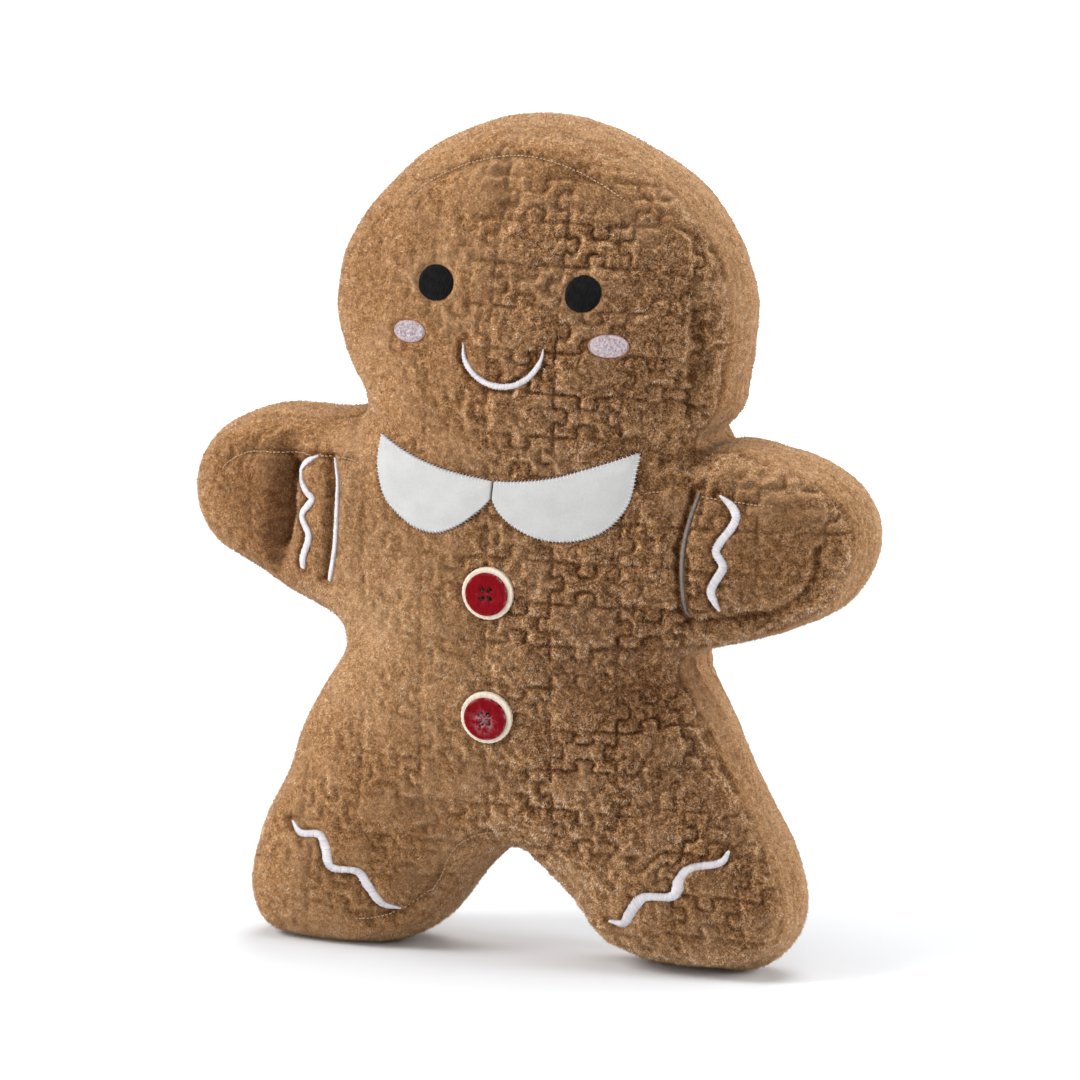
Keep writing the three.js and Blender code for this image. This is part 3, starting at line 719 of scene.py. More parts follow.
def makeJigsaw():
    # distance to the nearest groove over a block of two by two pieces
    w, h = jigsaw["wide"], jigsaw["high"]
    grooves = []
    for i in range(2):
        for j in range(2):
            way = 1 if (i + j) % 2 else -1
            a, b = knobLine(w, jigsaw["acrossKnob"], way)
            grooves.append(np.stack([i * w + a, j * h + b], 1))
            a, b = knobLine(h, jigsaw["upKnob"], way)
            grooves.append(np.stack([i * w + b, j * h + a], 1))
    grooves = np.concatenate(grooves)
    u = np.arange(0, 2 * w, jigsaw["cell"])
    v = np.arange(0, 2 * h, jigsaw["cell"])
    table = np.full((len(u), len(v)), 1e3)
    for a, b in grooves:
        du = np.abs(u - a % (2 * w))
        dv = np.abs(v - b % (2 * h))
        du, dv = np.minimum(du, 2 * w - du), np.minimum(dv, 2 * h - dv)
        np.minimum(table, np.hypot(du[:, None], dv[None, :]), out=table)
    return table


jigsawTable = makeJigsaw()


def jigsawDistance(u, v):
    nu, nv = jigsawTable.shape
    a = (u - jigsaw["startX"]) % (2 * jigsaw["wide"]) / jigsaw["cell"]
    b = (v - jigsaw["startZ"]) % (2 * jigsaw["high"]) / jigsaw["cell"]
    i, j = a.astype(int), b.astype(int)
    fa, fb = a - i, b - j
    i, j, iNext, jNext = i % nu, j % nv, (i + 1) % nu, (j + 1) % nv
    t = jigsawTable
    return blend(blend(t[i, j], t[i, jNext], fb), blend(t[iNext, j], t[iNext, jNext], fb), fa)


def insideRing(x, z, ring):
    inside = np.zeros(len(x), bool)
    for a, b in zip(ring, np.roll(ring, -1, 0)):
        crosses = (a[1] > z) != (b[1] > z)
        inside ^= crosses & (x < a[0] + (b[0] - a[0]) * (z - a[1]) / (b[1] - a[1] if b[1] != a[1] else 1))
    return inside


def trimCover(x, z):
    # how much each place is covered by trim, and how deep the trim pulls the cloth in
    cover, tuck = np.zeros(len(x)), np.zeros(len(x))

    def lay(kind, d):
        edge, deep, slope = trimEdges[kind]
        return np.maximum(cover, 1 - easeStep(d, *edge)), np.maximum(tuck, deep * (1 - easeStep(d, *slope)))

    for kind, radii in (("eyes", "eyeRadii"), ("cheeks", "cheekRadii")):
        for (cx, cz), (rx, rz) in zip(patches[kind], patches[radii]):
            cover, tuck = lay("patch", (np.hypot((x - cx) / rx, (z - cz) / rz) - 1) * min(rx, rz))
    line = trimEdges["line"]
    for path in satinPaths.values():
        d = distanceToPath(x, z, smoothPath(path, 2))
        cover = np.maximum(cover, 1 - easeStep(d, *line["cover"]))
        tuck = np.maximum(tuck, line["tuck"] * bell(d, line["tuckWidth"]))
    for side in ("left", "right"):
        upper, lower = smoothPath(collar[side + "Upper"], 2), smoothPath(collar[side + "Lower"], 2)
        ring = np.concatenate([upper, lower[::-1]])
        d = distanceToPath(x, z, closeLoop(ring), 60)
        cover, tuck = lay("felt", np.where(insideRing(x, z, ring), -d, d))
    for side in ("upper", "lower"):
        cx, cz = buttonPlace[side]
        cover, tuck = lay("button", np.hypot(x - cx, z - cz) - buttonPlace["radius"])
    return cover, tuck


def shadeBesideLines(x, z):
    # painted shade along one side of the satin lines
    dark = np.zeros(len(x))
    for path in satinPaths.values():
        d = distanceToPath(x, z, smoothPath(path, 2) + lineShade["shift"])
        dark = np.maximum(dark, bell(d, lineShade["width"]))
    return lineShade["depth"] * dark


def clothPlaces(mesh, x, y, z):
    # how far along and up the cloth each point lies, and whether it is on a panel or on the strip
    corner = readAll(mesh.loops, "vertex_index", kind=int)
    kind = readAll(mesh.polygons, "material_index", kind=int)
    kind = np.repeat(kind, readAll(mesh.polygons, "loop_total", kind=int))
    onPanel = np.bincount(corner, kind, len(x)) > 0
    uv = readAll(mesh.uv_layers["strip"].data, "uv", 2).reshape(-1, 2) / mm
    hits = np.maximum(np.bincount(corner, kind == 0, len(x)), 1)
    along = np.bincount(corner, uv[:, 0] * (kind == 0), len(x)) / hits
    u = np.where(onPanel, panelField.read(clothAcross, x, z), along)
    v = np.where(onPanel, panelField.read(clothUp, x, z), y + jigsaw["stripLevel"])
    return u, v, onPanel


def shareOf(z, share, low, high):
    return share * easeStep(z, low, high)


def pressing(points, x, y, z, onPanel, fromSeam):
    # the pattern is pressed deepest on one side, and stays faint on the other, at the crown and on the strip
    j = jigsaw
    firm = easeStep(x, j["faintX"], j["firmX"]) * (1 - shareOf(z, *j["lessUp"]))
    firm *= (1 - spots(x, z, j["lessAt"])) * (1 - shareOf(z, *j["lessDown"]))
    firm = np.where(y > 0, 0.5 * firm * easeStep(fromSeam, 0, 16), firm)
    fade = np.clip(0.85 + 0.5 * valueNoise(points, j["unevenSize"], 11), 0.3, 1.15)
    fade *= np.where(y > 0, j["onBack"] * easeStep(fromSeam, 2, 14), easeStep(fromSeam, 1.0, 4.5))
    fade *= (blend(j["faint"], 1, np.maximum(firm, shareOf(z, *j["onLegs"])))
             * np.where(onPanel, 1, j["onStrip"]))
    return firm, fade


def embossBody(body):
    mesh, j, p = body.data, jigsaw, pile
    points, normals = readPoints(mesh) / mm, readPoints(mesh, "normal")
    x, y, z = points[:, 0], points[:, 1] - depthShift, points[:, 2]
    u, v, onPanel = clothPlaces(mesh, x, y, z)
    inset, half = np.maximum(-panelDistance(x, z), 0), stuffing["stripWidth"] / 2
    fromSeam = np.where(onPanel, np.hypot(inset, np.maximum(np.abs(y) - half, 0)), half - np.abs(y))
    fromSeam = np.maximum(fromSeam, 0)
    front = onPanel & (y < 0)
    cover, tuck = np.zeros(len(x)), np.zeros(len(x))
    cover[front], tuck[front] = trimCover(x[front], z[front])
    free = 1 - cover

    firm, fade = pressing(points, x, y, z, onPanel, fromSeam)
    firmPanel = firm * onPanel
    swayU, swayV = (j["sway"] * valueNoise(points, j["swaySize"], seed) for seed in (21, 22))
    d = jigsawDistance(u + swayU, v + swayV)
    groove = bell(d, j["grooveWidth"]) * fade * free
    push = -j["groove"] * groove
    push += j["crown"] * (1 - bell(d, j["crownWidth"])) * fade * free
    calm = 1 - shareOf(z, *p["calm"]) * (1 - firm)
    for size, seed, soft, crisp in p["bumps"]:
        push += calm * blend(soft, crisp, firmPanel) * valueNoise(points, size, seed) * free
    c = p["crease"]
    crease = bell(valueNoise(points, c["size"], c["seed"]), c["sharp"]) * firm * onPanel * free * (1 - groove)
    push -= c["deep"] * crease + tuck
    drawn = np.clip(0.45 + 0.9 * spots(x, z, deepSeams), 0, 1.3)
    seamDent = bell(fromSeam, p["seamWidth"]) * drawn
    push += p["lip"] * bell(fromSeam - p["lipAt"], p["lipWidth"]) - p["seamDent"] * seamDent
    onLine = bell(inset - stitchInset(x, z), stitchLine["tuckWidth"]) * front * free * stitchShown(x, z)
    push -= stitchLine["tuck"] * onLine
    points += normals * push[:, None]
    points[:, 2] = np.maximum(points[:, 2], 0)
    writePoints(mesh, points * mm)
    mesh.uv_layers.remove(mesh.uv_layers["strip"])
    mesh.polygons.foreach_set("material_index", [0] * len(mesh.polygons))

    # painted sheen: cloth that faces one fixed direction is painted darker and cloth turned away from it
    # lighter, the way velvet pile looks straight on and from the side
    press, facing = np.array(p["sheenFrom"]), readPoints(mesh, "normal")
    facing[:, 1] = np.abs(facing[:, 1])
    mark(mesh, "paintedSheen", np.clip(1 - facing @ press / np.linalg.norm(press), 0, 1))
    # painted shade: the groove mark darkens the pile in the grooves, along the seams and the running stitch,
    # round the trim, in the creases and folds and beside the satin lines
    dark = p["dark"]
    deep = groove + dark["seam"] * seamDent + dark["stitch"] * onLine
    deep += dark["tuck"] * tuck * free
    deep += dark["crease"] * crease
    for _, width, share, path in frontFolds:
        if share:
            d = distanceToPath(x[front], z[front], smoothPath(path, 4))
            deep[front] += share * bell(d, 0.5 * width) * free[front]
    deep[front] += shadeBesideLines(x[front], z[front]) * free[front]
    mark(mesh, "groove", np.clip(deep, 0, 1))
    mark(mesh, "bare", cover)
    # painted light and shade, with the brushed pile
    mark(mesh, "brushAndShade", np.clip(spots(x, z, brushAndShade), -1, 1) * (y < 0))
    mark(mesh, "crisp", np.clip(firmPanel + spots(x, z, p["crisp"]) * (y < 0), 0, 1))


embossBody(plushBody)
print("pattern pressed into the cloth")

# ---- materials


def put(tree, kind, sockets=None, **settings):
    # adds a node: a socket takes either a value or the socket that feeds it
    made = tree.nodes.new(kind)
    for name, value in settings.items():
        setattr(made, name, value)
    for name, value in (sockets or {}).items():
        if isinstance(value, bpy.types.NodeSocket):
            tree.links.new(value, made.inputs[name])
        else:
            made.inputs[name].default_value = value
    return made


def calc(tree, operation, a, b=0.5, c=0.0):
    return put(tree, "ShaderNodeMath", {0: a, 1: b, 2: c}, operation=operation).outputs[0]


def tint(tree, amount, a, b, how="MIX"):
    return put(tree, "ShaderNodeMix", {0: amount, 6: a, 7: b}, data_type="RGBA", blend_type=how).outputs[2]


def noise(tree, place, scale, detail, more=None):
    sockets = {"Vector": place, "Scale": scale, "Detail": detail, **(more or {})}
    return put(tree, "ShaderNodeTexNoise", sockets).outputs[0]


def marked(tree, name, kind="Fac"):
    return put(tree, "ShaderNodeAttribute", attribute_name=name).outputs[kind]


def ramp(tree, value, stops):
    made = put(tree, "ShaderNodeValToRGB", {0: value})
    slots = made.color_ramp.elements
    slots[0].position, slots[-1].position = stops[0][0], stops[-1][0]
    slots[0].color, slots[-1].color = (*stops[0][1], 1), (*stops[-1][1], 1)
    for position, colour in stops[1:-1]:
        slots.new(position).color = (*colour, 1)
    return made.outputs[0]


def startGroup(name, kind, inputs, outputs):
    # a node tree with named inputs and outputs
    tree = bpy.data.node_groups.new(name, kind + "NodeTree")
    for label, socket, value in inputs:
        made = tree.interface.new_socket(label, in_out="INPUT", socket_type="NodeSocket" + socket)
        if value is not None:
            made.default_value = value
    for label, socket in outputs:
        tree.interface.new_socket(label, in_out="OUTPUT", socket_type="NodeSocket" + socket)
    return tree, tree.nodes.new("NodeGroupInput").outputs, tree.nodes.new("NodeGroupOutput").inputs


def speckleGroup():
    # crushed pile: light tips, dark gaps, and soft patches where it lies another way
    tree, given, result = startGroup(
        "crushedPile", "Shader",
        [("Place", "Vector", None), ("Grain", "Float", 1150.0), ("Patch", "Float", 46.0)],
        [("Tips", "Float"), ("Patches", "Float"), ("Height", "Float")])
    place = given["Place"]
    fine = noise(tree, place, given["Grain"], 2.5, {"Roughness": 0.62})
    clump = noise(tree, place, calc(tree, "MULTIPLY", given["Grain"], 0.36), 2.0, {"Distortion": 0.6})
    patch = noise(tree, place, given["Patch"], 3.0, {"Roughness": 0.55})
    tips = calc(tree, "MULTIPLY_ADD", fine, 0.62, calc(tree, "MULTIPLY", clump, 0.38))
    height = calc(tree, "MULTIPLY_ADD", fine, 0.5, calc(tree, "MULTIPLY", clump, 0.8))
    for name, value in (("Tips", tips), ("Patches", patch), ("Height", height)):
        tree.links.new(value, result[name])
    return tree


crushedPile = speckleGroup()


def useGroup(tree, group, sockets):
    return put(tree, "ShaderNodeGroup", sockets, node_tree=group).outputs


def newMaterial(name, values):
    made = bpy.data.materials.new(name)
    made.use_nodes = True
    tree = made.node_tree
    surface = tree.nodes["Principled BSDF"].inputs
    for socket, value in values.items():
        surface[socket].default_value = value
    return made, tree, surface, put(tree, "ShaderNodeTexCoord").outputs["Object"]


def addBump(tree, surface, height, strength, distance):
    bump = put(tree, "ShaderNodeBump", {"Strength": strength, "Distance": distance, "Height": height})
    tree.links.new(bump.outputs[0], surface["Normal"])


plushLook = {
    "gap": (0.10, 0.042, 0.013), "low": (0.22, 0.106, 0.039), "mid": (0.378, 0.197, 0.083),
    "tip": (0.63, 0.43, 0.262), "fleck": (0.90, 0.77, 0.62), "greyer": (0.44, 0.275, 0.155),
    # light and dark: painted light and painted shade for the spots that lighten and darken the pile, partly
    # brushed pile; groove: painted shade in grooves, seams and creases
    "groove": (0.34, 0.245, 0.17), "light": (0.56, 0.37, 0.20), "dark": (0.64, 0.56, 0.51),
    # painted sheen: darker where the cloth faces the fixed direction, lighter where it turns away
    "sheenTones": [(0.0, (0.50, 0.46, 0.44)), (0.08, (0.62, 0.58, 0.56)),
            (0.26, (0.92, 0.91, 0.90)), (0.6, (1, 1, 1))],
    "clothTones": [(0.36, "gap"), (0.45, "low"), (0.54, "mid"), (0.68, "tip")],
    "tipTones": [(0.16, "gap"), (0.32, "low"), (0.47, "mid"), (0.66, "tip"), (0.84, "fleck")],
    "sheenTint": (1.0, 0.83, 0.62, 1),
}


def tones(name):
    return [(place, plushLook[colour]) for place, colour in plushLook[name]]


def sharpenGroup():
    # spreads the tones round the middle one, further where the cloth is pressed firmly
    tree, given, result = startGroup(
        "sharpenTones", "Shader", [("Tone", "Float", 0.5), ("Soft", "Float", 1.0), ("Crisp", "Float", 1.0)],
        [("Tone", "Float")])
    more = calc(tree, "SUBTRACT", given["Crisp"], given["Soft"])
    gain = calc(tree, "MULTIPLY_ADD", marked(tree, "crisp"), more, given["Soft"])
    away = calc(tree, "SUBTRACT", given["Tone"], 0.5)
    tree.links.new(calc(tree, "MULTIPLY_ADD", away, gain, 0.5), result["Tone"])
    return tree


def lightAndShadeGroup():
    # painted light and shade on the pile, mixed with its brushed patches: spots that lighten and darken it,
    # painted shade in the grooves, seams and creases, and a painted sheen, darker where the cloth faces one
    # fixed direction
    look = plushLook
    tree, given, result = startGroup(
        "pileLightAndShade", "Shader", [("Pile", "Color", None), ("LightenBy", "Float", 0.3), ("GrooveShade", "Float", 0.92)],
        [("Pile", "Color")])
    lie = marked(tree, "brushAndShade")
    toLight = calc(tree, "MULTIPLY", calc(tree, "MAXIMUM", lie, 0.0), given["LightenBy"])
    toDark = calc(tree, "MAXIMUM", calc(tree, "MULTIPLY", lie, -1.0), 0.0)
    inGroove = calc(tree, "MULTIPLY", marked(tree, "groove"), given["GrooveShade"])
    base = tint(tree, toLight, given["Pile"], (*look["light"], 1))
    base = tint(tree, toDark, base, (*look["dark"], 1), "MULTIPLY")
    base = tint(tree, inGroove, base, (*look["groove"], 1), "MULTIPLY")
    base = tint(tree, 1.0, base, ramp(tree, marked(tree, "paintedSheen"), look["sheenTones"]), "MULTIPLY")
    tree.links.new(base, result["Pile"])
    return tree


sharpenTones, pileLightAndShade = sharpenGroup(), lightAndShadeGroup()


def plushMaterial():
    look = plushLook
    made, tree, surface, spot = newMaterial("brownPlush", {
        "Roughness": 0.95, "Specular IOR Level": 0.08, "Sheen Weight": 0.26, "Sheen Roughness": 0.42,
        "Sheen Tint": look["sheenTint"]})
    grain = useGroup(tree, crushedPile, {"Place": spot})
    tips = useGroup(tree, sharpenTones, {"Tone": grain["Tips"], "Soft": 0.85, "Crisp": 1.35})["Tone"]
    base = ramp(tree, tips, tones("clothTones"))
    patch = ramp(tree, grain["Patches"], [(0.45, (0, 0, 0)), (0.7, (0.34, 0.34, 0.34))])
    base = tint(tree, patch, base, (*look["greyer"], 1))
    # the cloth gets its painted light, shade and sheen
    tree.links.new(useGroup(tree, pileLightAndShade, {"Pile": base})["Pile"], surface["Base Color"])
    addBump(tree, surface, grain["Height"], 0.6, 0.0007)
    return made


brownPlush = plushMaterial()
plushBody.data.materials.clear()
plushBody.data.materials.append(brownPlush)

# a lighter and a darker colour, roughness, sheen, gloss, and a mottle: how much, and its colour
threadLooks = {
    "whiteThread": ((0.66, 0.63, 0.645), (0.46, 0.43, 0.45), 0.5, 0.1, 0.2, None),
    # white thread painted in shade, for the right sleeve line
    "shadedWhiteThread": ((0.21, 0.17, 0.145), (0.09, 0.07, 0.06), 0.55, 0.05, 0.2, None),
    "blackThread": ((0.012, 0.0115, 0.0115), (0.005, 0.0045, 0.0045), 0.8, 0.0, 0.08, None),
    "pinkThread": ((0.62, 0.55, 0.57), (0.40, 0.32, 0.345), 0.5, 0.1, 0.2, (0.62, (0.25, 0.17, 0.175))),
    "roseThread": ((0.44, 0.27, 0.26), (0.28, 0.14, 0.13), 0.6, 0.15, 0.2, None),
    "tanThread": ((0.58, 0.45, 0.31), (0.36, 0.25, 0.15), 0.6, 0.15, 0.2, None),
    "frayedThread": ((0.34, 0.15, 0.17), (0.13, 0.008, 0.018), 0.8, 0.15, 0.2, None),
    "redThread": ((0.22, 0.01, 0.02), (0.06, 0.002, 0.006), 0.6, 0.15, 0.2, None),
}


def threadMaterial(name):
    # each thread carries its own tone; fine strands run through it
    light, dark, rough, sheen, gloss, mottle = threadLooks[name]
    made, tree, surface, spot = newMaterial(name, {
        "Roughness": rough, "Specular IOR Level": gloss, "Sheen Weight": sheen, "Sheen Roughness": 0.4})
    strand = noise(tree, spot, 2600.0, 2.0)
    mixed = calc(tree, "MULTIPLY_ADD", strand, 0.5, calc(tree, "MULTIPLY", marked(tree, "tone"), 0.6))
    base = ramp(tree, mixed, [(0.2, dark), (0.75, light)])
    if mottle:
        spread = ramp(tree, noise(tree, spot, 900.0, 1.0), [(0.5, (0, 0, 0)), (0.62, (mottle[0],) * 3)])
        base = tint(tree, spread, base, (*mottle[1], 1))
    tree.links.new(base, surface["Base Color"])
    addBump(tree, surface, strand, 0.4, 0.0002)
    return made


threads = {name: threadMaterial(name) for name in threadLooks}


def feltMaterial():
    made, tree, surface, spot = newMaterial("whiteFelt", {
        "Roughness": 0.96, "Specular IOR Level": 0.05, "Sheen Weight": 0.1})
    fibres = noise(tree, spot, 1400.0, 4.0, {"Roughness": 0.7, "Distortion": 1.2})
    mixed = calc(tree, "MULTIPLY_ADD", fibres, 0.7,
                 calc(tree, "MULTIPLY", noise(tree, spot, 110.0, 3.0), 0.3))
    base = ramp(tree, mixed, [(0.3, (0.37, 0.365, 0.355)), (0.66, (0.48, 0.475, 0.465))])
    tree.links.new(base, surface["Base Color"])
    addBump(tree, surface, fibres, 0.45, 0.0003)
    return made


woodLooks = {
    "bareWood": {"dark": (0.53, 0.44, 0.34), "light": (0.66, 0.57, 0.46), "rough": 0.7},
    "stainedWood": {"dark": (0.10, 0.0002, 0.0022), "light": (0.19, 0.0006, 0.0045), "rough": 0.62,
                    "worn": (0.40, 0.25, 0.27)},
}


def woodMaterial(name):
    look = woodLooks[name]
    made, tree, surface, spot = newMaterial(name, {"Specular IOR Level": 0.06})
    stretched = put(tree, "ShaderNodeMapping", {"Vector": spot, "Scale": (900, 900, 160)})
    grain = noise(tree, stretched.outputs[0], 1.0, 4.0, {"Distortion": 0.8})
    wear = noise(tree, spot, 420.0, 5.0, {"Roughness": 0.7})
    base = ramp(tree, grain, [(0.3, look["dark"]), (0.62, look["light"])])
    if "worn" in look:
        worn = calc(tree, "MULTIPLY", marked(tree, "scuff"),
                    ramp(tree, wear, [(0.48, (0, 0, 0)), (0.6, (1, 1, 1))]))
        base = tint(tree, worn, base, (*look["worn"], 1))
    tree.links.new(base, surface["Base Color"])
    rough = ramp(tree, wear, [(0.3, (look["rough"] - 0.12,) * 3), (0.7, (look["rough"] + 0.14,) * 3)])
    tree.links.new(rough, surface["Roughness"])
    addBump(tree, surface, grain, 0.35, 0.0002)
    return made


def bladeMaterial():
    # the pile takes most of its light the way the cloth under it faces
    made, tree, surface, spot = newMaterial("plushTips", {
        "Roughness": 0.9, "Specular IOR Level": 0.05, "Sheen Weight": 0.18,
        "Sheen Tint": plushLook["sheenTint"]})
    own = put(tree, "ShaderNodeNewGeometry").outputs["Normal"]
    mixed = put(tree, "ShaderNodeMix", {0: 0.5, 4: marked(tree, "under", "Vector"), 5: own},
                data_type="VECTOR")
    soft = put(tree, "ShaderNodeVectorMath", {0: mixed.outputs[1]}, operation="NORMALIZE").outputs[0]
    # neighbouring tips share their tone in small tufts
    tuft, cloud = noise(tree, spot, 340.0, 2.0), noise(tree, spot, 60.0, 3.0)
    shade = calc(tree, "MULTIPLY_ADD", tuft, 1.6, calc(tree, "MULTIPLY", marked(tree, "tone"), 0.28))
    shade = calc(tree, "ADD", calc(tree, "MULTIPLY_ADD", cloud, 0.5, -0.69), shade)
    shade = useGroup(tree, sharpenTones, {"Tone": shade, "Soft": 0.58, "Crisp": 1.3})["Tone"]
    base = ramp(tree, shade, tones("tipTones"))
    # the tips get the same painted light, shade and sheen
    tree.links.new(useGroup(tree, pileLightAndShade, {"Pile": base})["Pile"], surface["Base Color"])
    tree.links.new(soft, surface["Normal"])
    return made


whiteFelt = feltMaterial()
plushTips = bladeMaterial()
bareWood, stainedWood = woodMaterial("bareWood"), woodMaterial("stainedWood")
print("materials mixed")

# ---- threads, swept along their paths


def sweepTree():
    tree, given, result = startGroup(
        "sweepThreads", "Geometry",
        [("Geometry", "Geometry", None), ("Radius", "Float", 0.0002), ("Sides", "Int", 5),
         ("Tip", "Float", 0.5), ("Uneven", "Float", 0.08), ("Seed", "Int", 1), ("Thread", "Material", None)],
        [("Geometry", "Geometry")])
    curve = put(tree, "GeometryNodeMeshToCurve", {"Mesh": given["Geometry"]})
    along = put(tree, "GeometryNodeSplineParameter").outputs["Factor"]
    ends = calc(tree, "POWER", calc(tree, "ABSOLUTE", calc(tree, "MULTIPLY_ADD", along, 2.0, -1.0)), 4.0)
    slim = calc(tree, "SUBTRACT", 1.0,
                calc(tree, "MULTIPLY", ends, calc(tree, "SUBTRACT", 1.0, given["Tip"])))
    low = calc(tree, "SUBTRACT", 1.0, given["Uneven"])
    high = calc(tree, "ADD", 1.0, given["Uneven"])
    vary = put(tree, "FunctionNodeRandomValue", {2: low, 3: high, 8: given["Seed"]}, data_type="FLOAT")
    size = calc(tree, "MULTIPLY", slim, vary.outputs[1])
    ring = put(tree, "GeometryNodeCurvePrimitiveCircle",
               {"Resolution": given["Sides"], "Radius": given["Radius"]})
    tube = put(tree, "GeometryNodeCurveToMesh", {
        "Curve": curve.outputs[0], "Profile Curve": ring.outputs[0], "Scale": size, "Fill Caps": True})
    smooth = put(tree, "GeometryNodeSetShadeSmooth", {"Geometry": tube.outputs[0]})
    real = put(tree, "GeometryNodeRealizeInstances", {"Geometry": smooth.outputs[0]})
    done = put(tree, "GeometryNodeSetMaterial", {"Geometry": real.outputs[0], "Material": given["Thread"]})
    tree.links.new(done.outputs[0], result["Geometry"])
    return tree


sweepThreads = sweepTree()


def runTree(piece, tree, values):
    # grows the piece by a node tree and keeps the result as its plain mesh
    grower = piece.modifiers.new(tree.name, "NODES")
    grower.node_group = tree
    sockets = {s.name: s.identifier for s in tree.interface.items_tree if s.in_out == "INPUT"}
    for name, value in values.items():
        grower[sockets[name]] = value
    freeze(piece)


def makeThreads(name, lines, shades, thickness, thread, seed, tip=0.5, sides=5):
    # lines are rows of places in mm; every one becomes a round thread
    mesh = bpy.data.meshes.new(name)
    points = np.concatenate(lines)
    counts = np.array([len(line) for line in lines])
    starts = np.concatenate([[0], np.cumsum(counts)[:-1]])
    edges = np.concatenate(
        [s + np.stack([np.arange(n - 1), np.arange(1, n)], 1) for s, n in zip(starts, counts)])
    mesh.vertices.add(len(points))
    mesh.vertices.foreach_set("co", (points * mm).ravel())
    mesh.edges.add(len(edges))
    mesh.edges.foreach_set("vertices", edges.ravel())
    mark(mesh, "tone", np.repeat(shades, counts))
    mesh.update()
    piece = addObject(name, mesh)
    runTree(piece, sweepThreads, {"Radius": thickness / 2 * mm, "Sides": sides, "Tip": tip, "Seed": seed,
                                  "Thread": threads[thread]})
    return piece


def joinPieces(name, parts):
    # one piece from several, with their materials side by side
    with bpy.context.temp_override(
            active_object=parts[0], object=parts[0], selected_editable_objects=parts, selected_objects=parts):
        bpy.ops.object.join()
    parts[0].name = parts[0].data.name = name
    return parts[0]


def padShell(name, top, bottom, material):
    # a closed pad between two grids of places, its top facing out
    rows, columns = top.shape[:2]
    points = np.concatenate([top.reshape(-1, 3), bottom.reshape(-1, 3)])

    def at(i, j, low=0):
        return low * rows * columns + i * columns + j

    faces = []
    for i in range(rows - 1):
        for j in range(columns - 1):
            faces.append((at(i, j), at(i + 1, j), at(i + 1, j + 1), at(i, j + 1)))
            faces.append((at(i, j, 1), at(i, j + 1, 1), at(i + 1, j + 1, 1), at(i + 1, j, 1)))
    rim = [(i, 0) for i in range(rows - 1)] + [(rows - 1, j) for j in range(columns - 1)]
    rim += [(i, columns - 1) for i in range(rows - 1, 0, -1)] + [(0, j) for j in range(columns - 1, 0, -1)]
    for a, b in zip(rim, rim[1:] + rim[:1]):
        faces.append((at(*b), at(*a), at(*a, 1), at(*b, 1)))
    piece = newMesh(name, points * mm, faces)
    piece.data.materials.append(material)
    mark(piece.data, "tone", [0.3] * len(points))
    return piece


def attach(piece, node):
    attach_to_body(piece, "root")
    if node:
        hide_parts(node)
    return piece


satin = {
    "pitch": 0.40, "thickness": 0.46, "rise": 0.7, "lift": -0.85, "slant": 0.32, "core": 1.1, "evenOver": 9,
    "across": np.array([-1.08, -0.95, -0.62, -0.2, 0.2, 0.62, 0.95, 1.08]),  # each thread, in half widths
    "coreAcross": np.linspace(-0.92, 0.92, 7), "coreEvery": 3,
    "teeth": 0.06, "stray": 0.05, "uneven": 0.05, "unevenSize": 4.0, "climb": 0.5,
}


def narrow(distance, end):
    share, long = end
    return 1 - (1 - share) * np.clip(1 - distance / long, 0, 1) ** 1.6


def leftOf(way):
    return np.stack([-way[:, 1], way[:, 0]], 1)


def satinColumn(name, node, seed, thread):
    # threads laid side by side across a line, over a flat core
    s, shape, rng = satin, satinShapes[name], np.random.default_rng(seed)
    line = smoothPath(satinPaths[name], s["pitch"])
    count = len(line)
    way = unit(np.gradient(line, axis=0))
    side = leftOf(way)
    run = np.arange(count) * s["pitch"]
    steep = np.pad(np.abs(way[:, 1]) ** 1.5, s["evenOver"], "edge")
    steep = np.convolve(steep, np.ones(2 * s["evenOver"] + 1) / (2 * s["evenOver"] + 1), "valid")
    width = blend(shape["level"], shape["steep"], steep)
    width = width * narrow(run, shape["start"]) * narrow(run[-1] - run, shape["end"])
    width *= 1 + s["uneven"] * valueNoise(np.stack([run, 0 * run, 0 * run], 1), s["unevenSize"], seed)
    slopes = enumerate((frontSlopeX, frontSlopeZ))
    slope = sum(frontField.read(g, line[:, 0], line[:, 1]) * side[:, k] for k, g in slopes)
    width /= np.hypot(1, s["climb"] * slope)  # on cloth that falls away the line looks no wider
    cross, steps = side + s["slant"] * way, s["across"]
    reach = width * (1 + shape.get("teeth", s["teeth"]) * rng.standard_normal(count)).clip(0.75, 1.2)
    places = line[:, None] + cross[:, None] * (reach[:, None] * steps)[..., None]
    arch = s["rise"] * np.sqrt(np.clip(1 - (steps / 1.1) ** 2, 0, 1))
    lift = s["lift"] + s["thickness"] / 2 + arch[None] + s["stray"] * rng.standard_normal((count, 1))
    lines = onCloth(places[..., 0], places[..., 1], lift)
    stitches = makeThreads(name, list(lines), rng.uniform(0.3, 1, count), s["thickness"], thread, seed)
    steps, slim = s["coreAcross"], slice(0, count, s["coreEvery"])
    places = line[slim, None] + side[slim, None] * (width[slim, None] * steps)[..., None]
    arch = np.broadcast_to(s["rise"] * np.sqrt(1 - (steps / 1.05) ** 2), places.shape[:2])
    top = onCloth(places[..., 0], places[..., 1], s["lift"] + s["thickness"] * 0.4 + arch)
    bottom = onCloth(places[..., 0], places[..., 1], s["lift"] - s["core"])
    core = padShell(name + "Core", top, bottom, threads[thread])
    attach(joinPieces(name, [stitches, core]), node)


